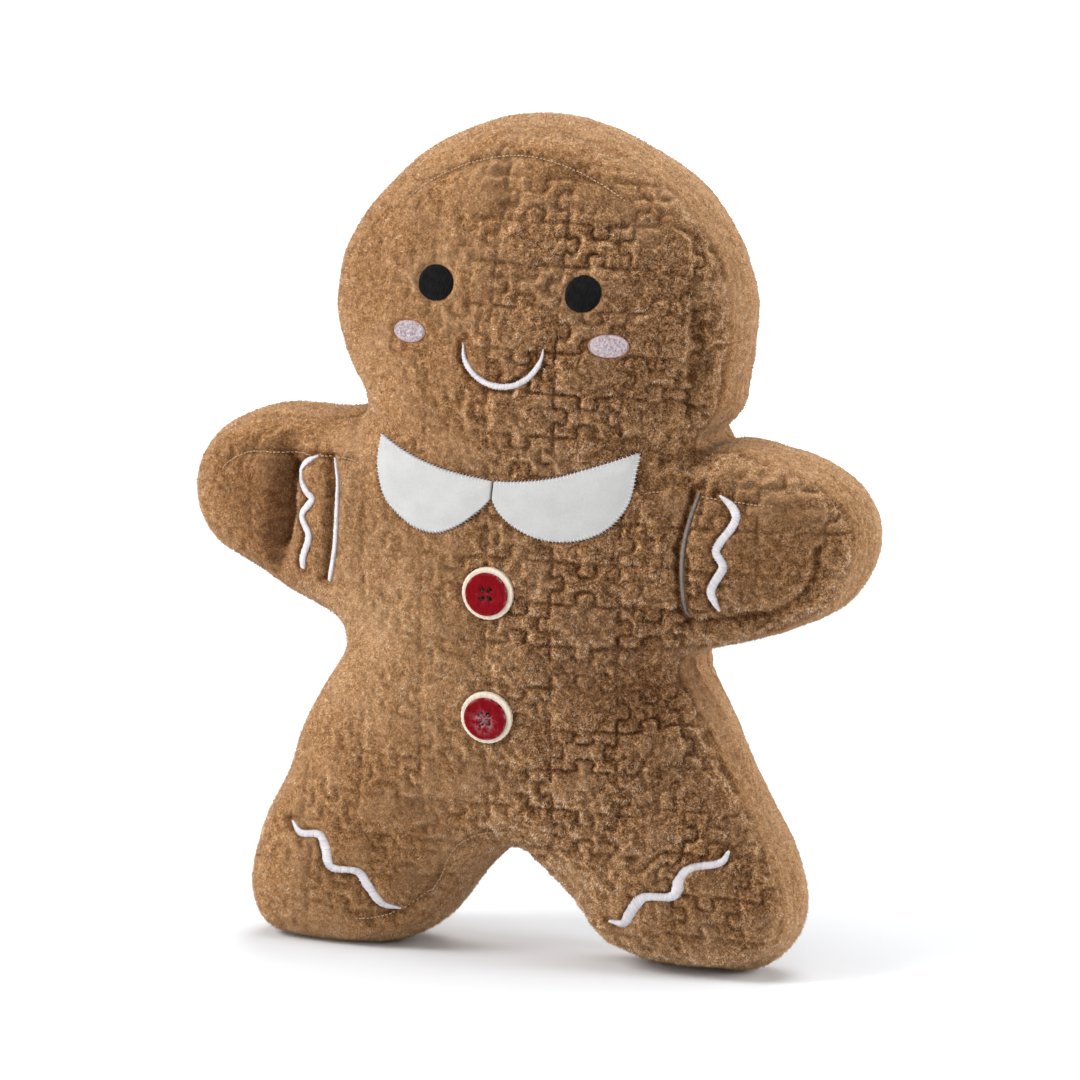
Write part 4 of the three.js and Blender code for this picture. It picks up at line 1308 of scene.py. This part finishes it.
for name, node, seed, thread in (
        ("sleeveLineLeft", "sleeve_line_left", 40, "whiteThread"),
        # the right sleeve line gets the white thread painted in shade
        ("sleeveLineRight", "sleeve_line_right", 41, "shadedWhiteThread"),
        ("sleeveWaveLeft", "sleeve_wave_left", 42, "whiteThread"),
        ("sleeveWaveRight", "sleeve_wave_right", 43, "whiteThread"),
        ("legWaveLeft", "leg_wave_left", 44, "whiteThread"),
        ("legWaveRight", "leg_wave_right", 45, "whiteThread"),
        ("smile", "smile", 51, "whiteThread")):
    satinColumn(name, node, seed, thread)
print("satin lines stitched")

# rows of stitches: their pitch, thickness and length,
# the pad's crown, the rows' angle, and the lift off the cloth
fillStitch = {
    "eye": {"pitch": 0.42, "thickness": 0.5, "stitch": 5.2, "crown": 1.0, "angle": 1.25, "lift": -0.5},
    "cheek": {"pitch": 0.46, "thickness": 0.46, "stitch": 2.2, "crown": 0.4, "angle": 1.45, "lift": -0.5},
}


stitchBow = np.array([-0.32, 0.02, 0.12, 0.12, 0.02, -0.32])


def ellipsePlaces(centre, radius, cells=14):
    # a square grid bent onto an ellipse, so the pad has no pole
    u, v = np.meshgrid(np.linspace(-1, 1, cells), np.linspace(-1, 1, cells), indexing="ij")
    return (centre[0] + radius[0] * u * np.sqrt(1 - v * v / 2),
            centre[1] + radius[1] * v * np.sqrt(1 - u * u / 2))


def filledPatch(name, node, centre, radius, look, thread, seed, edge=None):
    # rows of short stitches that fill an ellipse, over a crowned pad
    s, rng = fillStitch[look], np.random.default_rng(seed)
    ca, sa = math.cos(s["angle"]), math.sin(s["angle"])
    lines = []
    for row, offset in enumerate(np.arange(-max(radius), max(radius), s["pitch"])):
        ox, oz = -sa * offset, ca * offset
        a = (ca / radius[0]) ** 2 + (sa / radius[1]) ** 2
        b = 2 * (ox * ca / radius[0] ** 2 + oz * sa / radius[1] ** 2)
        c = (ox / radius[0]) ** 2 + (oz / radius[1]) ** 2 - 1
        inside = b * b - 4 * a * c
        if inside <= 0.02:
            continue
        low, high = (-b - math.sqrt(inside)) / (2 * a), (-b + math.sqrt(inside)) / (2 * a)
        cuts = [low]
        start = low + s["stitch"] * (0.35 + 0.6 * ((row * 0.37) % 1))
        while start < high - 0.25 * s["stitch"]:
            cuts.append(start)
            start += s["stitch"] * rng.uniform(0.85, 1.15)
        cuts.append(high)
        for begin, end in zip(cuts[:-1], cuts[1:]):
            t = np.linspace(begin - 0.12, end + 0.12, 6)
            px, pz = ox + ca * t, oz + sa * t
            r = np.clip((px / radius[0]) ** 2 + (pz / radius[1]) ** 2, 0, 1)
            lift = s["lift"] + s["thickness"] / 2 + s["crown"] * (1 - r) + 0.25 + stitchBow
            lift = lift + 0.03 * rng.standard_normal()
            lines.append(onCloth(centre[0] + px, centre[1] + pz, lift))
    stitches = makeThreads(name, lines, rng.uniform(0.1, 1, len(lines)), s["thickness"], thread, seed)
    x, z = ellipsePlaces(centre, (radius[0] * 0.97, radius[1] * 0.97))
    r = np.clip(((x - centre[0]) / radius[0]) ** 2 + ((z - centre[1]) / radius[1]) ** 2, 0, 1)
    top = onCloth(x, z, s["lift"] + s["thickness"] * 0.55 + s["crown"] * (1 - r))
    core = padShell(name + "Core", top, onCloth(x, z, s["lift"] - 1.0), threads[thread])
    parts = [stitches, core]
    if edge:
        # one thread laid round the outline
        turn = np.linspace(0, 2 * math.pi, 61)
        x, z = centre[0] + (radius[0] + 0.1) * np.cos(turn), centre[1] + (radius[1] + 0.1) * np.sin(turn)
        parts.append(makeThreads(
            name + "Edge", [onCloth(x, z, s["lift"] + 0.3)], [0.6], 0.5, edge, seed, tip=1.0))
    attach(joinPieces(name, parts), node)


for look, slot, thread, seed, edge in (
        ("eye", "black_thread", "blackThread", 61, None),
        ("cheek", "pink_thread", "pinkThread", 63, "roseThread")):
    for side, centre, radius in zip(("Left", "Right"), patches[look + "s"], patches[look + "Radii"]):
        filledPatch(look + side, look + "_" + side.lower(), centre, radius, look, thread, seed, edge)
print("face stitched")

# ---- felt collar

feltSheet = {
    "thick": 1.3, "lift": 0.1, "along": 84, "across": 30, "under": 0.9, "edgeWidth": 0.9, "edgeDrop": 0.45,
    "wave": 0.12, "waveSize": 13.0, "bulge": 0.6, "bulgeFromTo": (0.5, 7),
    "standOff": [(-12, 220, 9.0, 0.5)],  # the left lobe stands off the chest a little by the split
    "stitchPitch": 1.75, "stitchLong": 1.7, "stitchThick": 0.38,
    "bareMiddle": -1, "bareHalf": 1.6, "bareAbove": 227,  # no stitches where the lobes meet
}


def collarLobe(side, node, seed):
    f, rng = feltSheet, np.random.default_rng(seed)
    lines = [smoothPath(collar[side + edge], 0.5) for edge in ("Upper", "Lower")]
    upper, lower = [line[np.round(np.linspace(0, len(line) - 1, f["along"])).astype(int)] for line in lines]
    t = np.linspace(0, 1, f["across"])[None, :, None]
    t = t * t * (3 - 2 * t) * 0.35 + t * 0.65
    flat = lower[:, None] * (1 - t) + upper[:, None] * t
    x, z = flat[..., 0], flat[..., 1]
    ring = np.concatenate([lower, upper[::-1]])
    closed = closeLoop(ring)
    edge = distanceToPath(x.ravel(), z.ravel(), closed, 60).reshape(x.shape)
    inEdge = 1 - np.clip(edge / f["edgeWidth"], 0, 1)
    rounded = f["edgeDrop"] * (1 - np.sqrt(np.clip(1 - inEdge ** 2, 0, 1)))
    spot = np.stack([x.ravel(), 0 * x.ravel(), z.ravel()], 1)
    wave = f["wave"] * valueNoise(spot, f["waveSize"], seed).reshape(x.shape)
    wave = wave + f["bulge"] * easeStep(edge, *f["bulgeFromTo"])
    if side == "left":
        wave += spots(x, z, f["standOff"])
    top = onCloth(x, z, f["lift"] + f["thick"] - rounded + wave)
    bottom = onCloth(x, z, f["lift"] - f["under"] + rounded * 0.3 + wave * 0.5)
    if side == "left":  # its rows run the other way, so they are turned to keep the top outwards
        top, bottom = top[::-1], bottom[::-1]
    lobe = attach(padShell("collar" + side.capitalize(), top, bottom, whiteFelt), node)
    # whip stitches over the cut edge
    rim = smoothPath(closed, f["stitchPitch"])
    way = unit(np.gradient(rim, axis=0))
    inward = leftOf(way)
    if np.sum(inward * (ring.mean(0) - rim)) < 0:
        inward = -inward
    above = f["thick"] + f["lift"]
    lift = np.array([-0.7, 0.35, above - 0.05, above + 0.08, above + 0.05, above - 0.5])
    lines = []
    for p, n, w in zip(rim, inward, way):
        if abs(p[0] - f["bareMiddle"]) < f["bareHalf"] and p[1] > f["bareAbove"]:
            continue
        long = f["stitchLong"] * rng.uniform(0.85, 1.15)
        steps = np.array([-0.85, -0.5, -0.05, 0.5, long * 0.75, long])
        q = p + (n + w * rng.uniform(-0.12, 0.12)) * steps[:, None]
        lines.append(onCloth(q[:, 0], q[:, 1], lift))
    stitches = makeThreads("collarStitches" + side.capitalize(), lines, rng.uniform(0.5, 1, len(lines)),
                           f["stitchThick"], "whiteThread", seed)
    attach(stitches, None)


collarLobe("left", "collar_left", 71)
collarLobe("right", "collar_right", 72)

# ---- wooden buttons

button = {
    "radius": 12.6, "rimHeight": 3.0, "faceRadius": 10.4, "height": 4.2, "round": 0.6, "faceRound": 0.45,
    "hole": 1.25, "holePitch": (3.5, 4.3), "faceShift": (-0.3, -0.2), "sides": 140, "nicks": 70, "lift": -0.5,
    "threadThick": 0.24, "rubbed": np.array([-0.6, 0, -1.2]),
}


def lathe(name, profile, sides, material, wobble=None):
    # turns a profile of (radius, height) round the z axis, closed at both poles
    points = [(0, 0, profile[0][1])]
    angles = [2 * math.pi * k / sides for k in range(sides)]
    for r, h in profile[1:-1]:
        for a in angles:
            out = r + (wobble(a, r) if wobble else 0)
            points.append((out * math.cos(a), out * math.sin(a), h))
    points.append((0, 0, profile[-1][1]))
    rows, last = len(profile) - 2, len(points) - 1
    faces = []
    for k in range(sides):
        n = (k + 1) % sides
        faces.append((0, 1 + n, 1 + k))
        for row in range(rows - 1):
            a = 1 + row * sides
            faces.append((a + k, a + n, a + sides + n, a + sides + k))
        a = 1 + (rows - 1) * sides
        faces.append((a + k, a + n, last))
    piece = newMesh(name, points, faces)
    piece.data.materials.append(material)
    return piece


def arc(cx, cy, r, start, end, count):
    return [(cx + r * math.cos(t), cy + r * math.sin(t)) for t in np.radians(np.linspace(start, end, count))]


def makeButton(side, node, seed):
    b, rng = button, np.random.default_rng(seed)
    r, h, soft, top, f, edge = (
        b[k] for k in ("radius", "rimHeight", "round", "height", "faceRadius", "faceRound"))
    nicks = 0.14 * (np.arange(b["nicks"]) % 2) + rng.uniform(-0.05, 0.05, b["nicks"])

    def wobble(a, radius):
        nick = nicks[int(a / (2 * math.pi) * b["nicks"] + 1e-6) % b["nicks"]]
        return nick - 0.07 + 0.06 * math.sin(3 * a + seed) if radius > 0.93 * r else 0

    base = ([(0, 0), (f - 1.5, 0)] + arc(r - soft, soft, soft, -90, 0, 5)
            + arc(r - soft, h - soft, soft, 0, 90, 5))
    base += [(f + 0.4, h), (f - 1.5, h), (0, h)]
    dish = [(0, h - 1.2), (f - 0.15, h - 1.2), (f, h - 1.0)] + arc(f - edge, top - edge, edge, 0, 90, 5)
    dish += [(f - 1.2, top - 0.02), (f * 0.55, top - 0.12), (2.6, top - 0.2), (0, top - 0.2)]
    rim = lathe("rim", base, b["sides"], bareWood, wobble)
    face = lathe("face", dish, b["sides"], stainedWood)
    shift = Vector((*b["faceShift"], 0))
    face.data.transform(Matrix.Translation(shift))
    qx, qz = b["holePitch"][0] / 2, b["holePitch"][1] / 2
    corners = ((-qx, -qz), (-qx, qz), (qx, -qz), (qx, qz))
    for piece, shade in ((rim, bareWood), (face, stainedWood)):
        drills = []
        for sx, sz in corners:
            drill = lathe("drill", [(0, -3), (b["hole"], -3), (b["hole"], top + 3), (0, top + 3)], 20, shade)
            drill.data.transform(Matrix.Translation(shift + Vector((sx, sz, 0))))
            cut = piece.modifiers.new("hole", "BOOLEAN")
            cut.operation, cut.solver, cut.object = "DIFFERENCE", "EXACT", drill
            drills.append(drill)
        bpy.context.view_layer.update()
        freeze(piece)
        for drill in drills:
            bpy.data.objects.remove(drill)
    x, z = buttonPlace[side]
    out = Vector(clothNormal(x, z))
    right = Vector((1, 0, 0))
    right = (right - out * right.dot(out)).normalized()
    turn = Matrix((right, out.cross(right), out)).transposed().to_4x4()
    move = Matrix.Translation(Vector(onCloth(x, z, b["lift"])) * mm) @ turn @ Matrix.Diagonal((mm, mm, mm, 1))
    # sewing thread across the holes: the lower button's is worn to a knot, the other's lies deep in its holes
    knot = side == "lower"
    low, high, lowRight, highRight = corners
    if knot:
        ways = [(high, lowRight, 5), (low, highRight, 3), (low, (0.3, -0.6), 9)]
    else:
        ways = [(low, lowRight, 2), (high, highRight, 2)]
    t = np.array([0, 0.04, 0.25, 0.5, 0.75, 0.96, 1.0])[:, None]
    lines = []
    for a, c, strands in ways:
        for strand in range(strands):
            flat = np.array(a) * (1 - t) + np.array(c) * t + rng.uniform(-0.25, 0.25, 2) + b["faceShift"]
            if knot:
                flat[1:-1] += rng.uniform(-0.7, 0.5, (5, 2))
            lift = (top + np.array([-1.6, -0.3, 0.08, 0.12, 0.08, -0.3, -1.6])
                    + 0.04 * strand - (0 if knot else 0.8))
            lines.append(np.array([move @ Vector(p) for p in np.concatenate([flat, lift[:, None]], 1)]) / mm)
    thread = "frayedThread" if knot else "redThread"
    sewing = makeThreads(
        "sewing", lines, rng.uniform(0.3, 1, len(lines)), b["threadThick"], thread, seed, tip=0.8)
    for piece in (rim, face):
        piece.data.transform(move)
    middle = np.array(move @ Vector((*b["faceShift"], top)))
    away = readPoints(face.data) - middle
    gap = np.linalg.norm(away, axis=1) / mm
    rubbed = np.linalg.norm(away - b["rubbed"] * mm, axis=1) / mm
    worn = bell(rubbed, 3.6) * (1.2 if knot else 0.1) + 0.5 * bell(gap - f, 0.5)
    mark(face.data, "scuff", np.clip(worn, 0, 1))
    attach(joinPieces("button" + side.capitalize(), [rim, face, sewing]), node)


makeButton("upper", "button_upper", 81)
makeButton("lower", "button_lower", 82)
print("buttons sewn on")

# ---- running stitch round the front


def runningStitch():
    s, rng = stitchLine, np.random.default_rng(91)
    line, _ = traceLevel(s["pitch"], -s["inset"])
    line = np.stack(walkToLevel(line[:, 0], line[:, 1], -stitchInset(line[:, 0], line[:, 1])), 1)
    count = len(line)
    way = unit(np.roll(line, -1, 0) - line)
    long = s["length"] * rng.uniform(0.85, 1.1, count)
    places = line[:, None] + way[:, None] * (long[:, None] * s["along"])[..., None]
    places = places + rng.uniform(-0.12, 0.12, (count, 1, 2))
    lift = s["lift"] - s["tuck"] + s["arch"] + rng.uniform(-0.1, 0.15, (count, 1))
    # it sinks into the pile in places
    spot = np.stack([line[:, 0], 0 * line[:, 0], line[:, 1]], 1)
    lift += s["sink"] * valueNoise(spot, s["sinkSize"], 92)[:, None]
    cover, _ = trimCover(line[:, 0], line[:, 1])
    clear = (cover < 0.2) & (stitchShown(line[:, 0], line[:, 1]) > rng.uniform(0.2, 0.7, count))
    lines = [onCloth(p[:, 0], p[:, 1], h) for p, h in zip(places[clear], lift[clear])]
    shades = rng.uniform(0.2, 1, len(lines))
    piece = makeThreads("runningStitch", lines, shades, s["thickness"], "tanThread", 91, sides=6)
    attach(piece, None)


runningStitch()

# ---- loose pile standing out of the cloth

blades = {
    "long": 1.5, "wide": 0.2, "perPiece": 47000, "buried": 0.2, "lean": 0.45, "spread": 0.75,
    "clearGrooves": 0.7, "splitAt": (118, 244),
}


def bladeTree():
    tree, given, result = startGroup(
        "growPile", "Geometry",
        [("Geometry", "Geometry", None), ("Per Area", "Float", 1e6), ("Long", "Float", 0.001),
         ("Wide", "Float", 0.0002), ("Lean", "Float", 0.4), ("Spread", "Float", 0.7), ("Seed", "Int", 1),
         ("Pile", "Material", None)],
        [("Geometry", "Geometry")])
    seed = given["Seed"]
    share = put(tree, "GeometryNodeInputNamedAttribute", {"Name": "grow"}, data_type="FLOAT").outputs[0]
    density = calc(tree, "MULTIPLY", share, given["Per Area"])
    points = put(tree, "GeometryNodeDistributePointsOnFaces",
                 {"Mesh": given["Geometry"], "Density": density, "Seed": seed}).outputs
    lean = put(tree, "ShaderNodeCombineXYZ", {"Z": calc(tree, "MULTIPLY", given["Lean"], -1.0)}).outputs[0]
    low = calc(tree, "MULTIPLY", given["Spread"], -1.0)
    stray = put(tree, "FunctionNodeRandomValue", {0: low, 1: given["Spread"], 8: seed},
                data_type="FLOAT_VECTOR")
    toward = points["Normal"]
    for way in (lean, stray.outputs[0]):
        toward = put(tree, "ShaderNodeVectorMath", {0: toward, 1: way}, operation="ADD").outputs[0]
    turned = put(tree, "FunctionNodeAlignRotationToVector", {"Vector": toward}, axis="Z").outputs[0]
    cone = put(tree, "GeometryNodeMeshCone",
               {"Vertices": 3, "Radius Top": 0.0, "Radius Bottom": given["Wide"], "Depth": given["Long"]})
    size, tone = (
        put(tree, "FunctionNodeRandomValue", {2: least, 3: most, 8: seed}, data_type="FLOAT").outputs[1]
        for least, most in ((0.55, 1.15), (0.0, 1.0)))
    grown = put(tree, "GeometryNodeInstanceOnPoints", {
        "Points": points["Points"], "Instance": cone.outputs["Mesh"], "Rotation": turned, "Scale": size})
    for name, kind, value in (("tone", "FLOAT", tone), ("under", "FLOAT_VECTOR", points["Normal"])):
        grown = put(tree, "GeometryNodeStoreNamedAttribute",
                    {"Geometry": grown.outputs[0], "Name": name, "Value": value},
                    data_type=kind, domain="INSTANCE")
    real = put(tree, "GeometryNodeRealizeInstances", {"Geometry": grown.outputs[0]})
    done = put(tree, "GeometryNodeSetMaterial", {"Geometry": real.outputs[0], "Material": given["Pile"]})
    tree.links.new(done.outputs[0], result["Geometry"])
    return tree


growPile = bladeTree()


def growOn(name, chosen, seed):
    # pile on the chosen points of the body
    b, mesh = blades, plushBody.data.copy()
    points = readPoints(mesh) / mm
    bare, deep = readMark(mesh, "bare"), readMark(mesh, "groove")
    # fewer tips stand in the grooves and where the cloth has painted shade
    grow = chosen * (1 - 0.97 * bare) * (1 - b["clearGrooves"] * deep) * easeStep(points[:, 2], 0.5, 3)
    writePoints(mesh, (points - readPoints(mesh, "normal") * b["buried"]) * mm)
    mesh.attributes.remove(mesh.attributes["bare"])
    mark(mesh, "grow", grow)
    corner = readAll(mesh.loops, "vertex_index", kind=int)
    size = readAll(mesh.polygons, "loop_total", kind=int)
    inFace = np.repeat(np.arange(len(size)), size)
    covered = float(np.sum(readAll(mesh.polygons, "area") * np.bincount(inFace, grow[corner]) / size))
    piece = addObject(name, mesh)
    runTree(piece, growPile, {
        "Per Area": b["perPiece"] / covered, "Long": b["long"] * mm, "Wide": b["wide"] * mm,
        "Lean": b["lean"], "Spread": b["spread"], "Seed": seed, "Pile": plushTips})
    print(name, len(piece.data.polygons), "faces over", round(covered * 1e4), "cm2")
    attach(piece, None)


placeY, placeZ = readPoints(plushBody.data)[:, 1:].T / mm
front, split = placeY < 0, blades["splitAt"]
growOn("pileHead", front * (placeZ > split[1]), 101)
growOn("pileChest", front * (placeZ <= split[1]) * (placeZ > split[0]), 102)
growOn("pileLegs", front * (placeZ <= split[0]), 103)
growOn("pileBack", ~front, 104)

attach(plushBody, "plush_body")

# ---- camera, light and floor

view = {
    "azimuth": 19.11, "elevation": 9.3, "roll": 1.79,
    "distance": 5.97, "pxPerMm": 2.0985, "picturePx": 1080,
    "aim": (0, 0, 190.8), "aimPx": (534.4, 558.6),
}
studio = {
    "world": 0.02, "floor": (0.765, 0.785, 0.81), "floorHalf": 9,
    "farGlow": 0.85, "glowFrom": 0.5, "glowOver": 2.4, "aim": (0, 0, 0.2),
    "lamps": {
        "key": {"place": (-2.1, -1.9, 2.3), "size": 1.6, "power": 111},
        "low": {"place": (-2.2, -2.6, 0.8), "size": 1.6, "power": 52},
        "front": {"place": (1.0, -3.4, 1.4), "size": 1.8, "power": 22},
        "top": {"place": (0, -0.3, 3.0), "size": 2.0, "power": 40},
        "topBack": {"place": (0, 1.9, 2.4), "size": 1.8, "power": 58},
        "right": {"place": (3.0, 0.1, 1.2), "size": 1.6, "power": 58},
        "rightBack": {"place": (2.3, 1.9, 1.3), "size": 1.6, "power": 38},
    },
}


def placeCamera():
    v = view
    a, e, r = (math.radians(v[k]) for k in ("azimuth", "elevation", "roll"))
    ahead = Vector((-math.sin(a) * math.cos(e), math.cos(a) * math.cos(e), -math.sin(e)))
    level = Vector((math.cos(a), math.sin(a), 0))
    upright = level.cross(ahead)
    right = level * math.cos(r) + upright * math.sin(r)
    up = upright * math.cos(r) - level * math.sin(r)
    middle = v["picturePx"] / 2
    aim = Vector(v["aim"]) + right * (middle - v["aimPx"][0]) / v["pxPerMm"]
    aim += up * (v["aimPx"][1] - middle) / v["pxPerMm"]
    lens = bpy.data.cameras.new("camera")
    camera = addObject("camera", lens)
    camera.location = aim * mm - ahead * v["distance"]
    camera.rotation_euler = Matrix((right, up, -ahead)).transposed().to_euler()
    lens.sensor_width = 36
    lens.lens = lens.sensor_width * v["distance"] / (v["picturePx"] / v["pxPerMm"] * mm)
    lens.clip_start, lens.clip_end = 0.5, 60
    scene.camera = camera


def lightStudio():
    s = studio
    for name, look in s["lamps"].items():
        lamp = bpy.data.lights.new(name, "AREA")
        lamp.size, lamp.energy = look["size"], look["power"]
        light = addObject(name, lamp)
        light.location = look["place"]
        light.rotation_euler = (Vector(s["aim"]) - light.location).to_track_quat("-Z", "Y").to_euler()
    world = bpy.data.worlds.new("studio")
    scene.world = world
    world.use_nodes = True
    tree = world.node_tree
    glow = tree.nodes["Background"]
    glow.inputs["Color"].default_value = (1, 1, 1, 1)
    glow.inputs["Strength"].default_value = s["world"]
    backdrop = put(tree, "ShaderNodeBackground", {"Color": (1, 1, 1, 1), "Strength": 1.0})
    seen = put(tree, "ShaderNodeLightPath").outputs["Is Camera Ray"]
    mixed = put(tree, "ShaderNodeMixShader", {0: seen, 1: glow.outputs[0], 2: backdrop.outputs[0]})
    tree.links.new(mixed.outputs[0], tree.nodes["World Output"].inputs["Surface"])
    scene.view_settings.view_transform = "Standard"
    half = s["floorHalf"]
    corners = [(half * x, half * y, 0) for x, y in ((-1, -1), (1, -1), (1, 1), (-1, 1))]
    floor = newMesh("floor", corners, [(0, 1, 2, 3)], False)
    made, tree, surface, spot = newMaterial("paper", {
        "Base Color": (*s["floor"], 1), "Emission Color": (1, 1, 1, 1),
        "Roughness": 1, "Specular IOR Level": 0})
    # far from the toy the paper stays as bright for the camera as it is close by
    reach = put(tree, "ShaderNodeVectorMath", {0: spot}, operation="LENGTH").outputs["Value"]
    glowTo = s["glowFrom"] + s["glowOver"]
    far = put(tree, "ShaderNodeMapRange", {0: reach, 1: s["glowFrom"], 2: glowTo, 3: 0.0, 4: s["farGlow"]})
    seen = put(tree, "ShaderNodeLightPath").outputs["Is Camera Ray"]
    tree.links.new(calc(tree, "MULTIPLY", far.outputs[0], seen), surface["Emission Strength"])
    floor.data.materials.append(made)


placeCamera()
lightStudio()
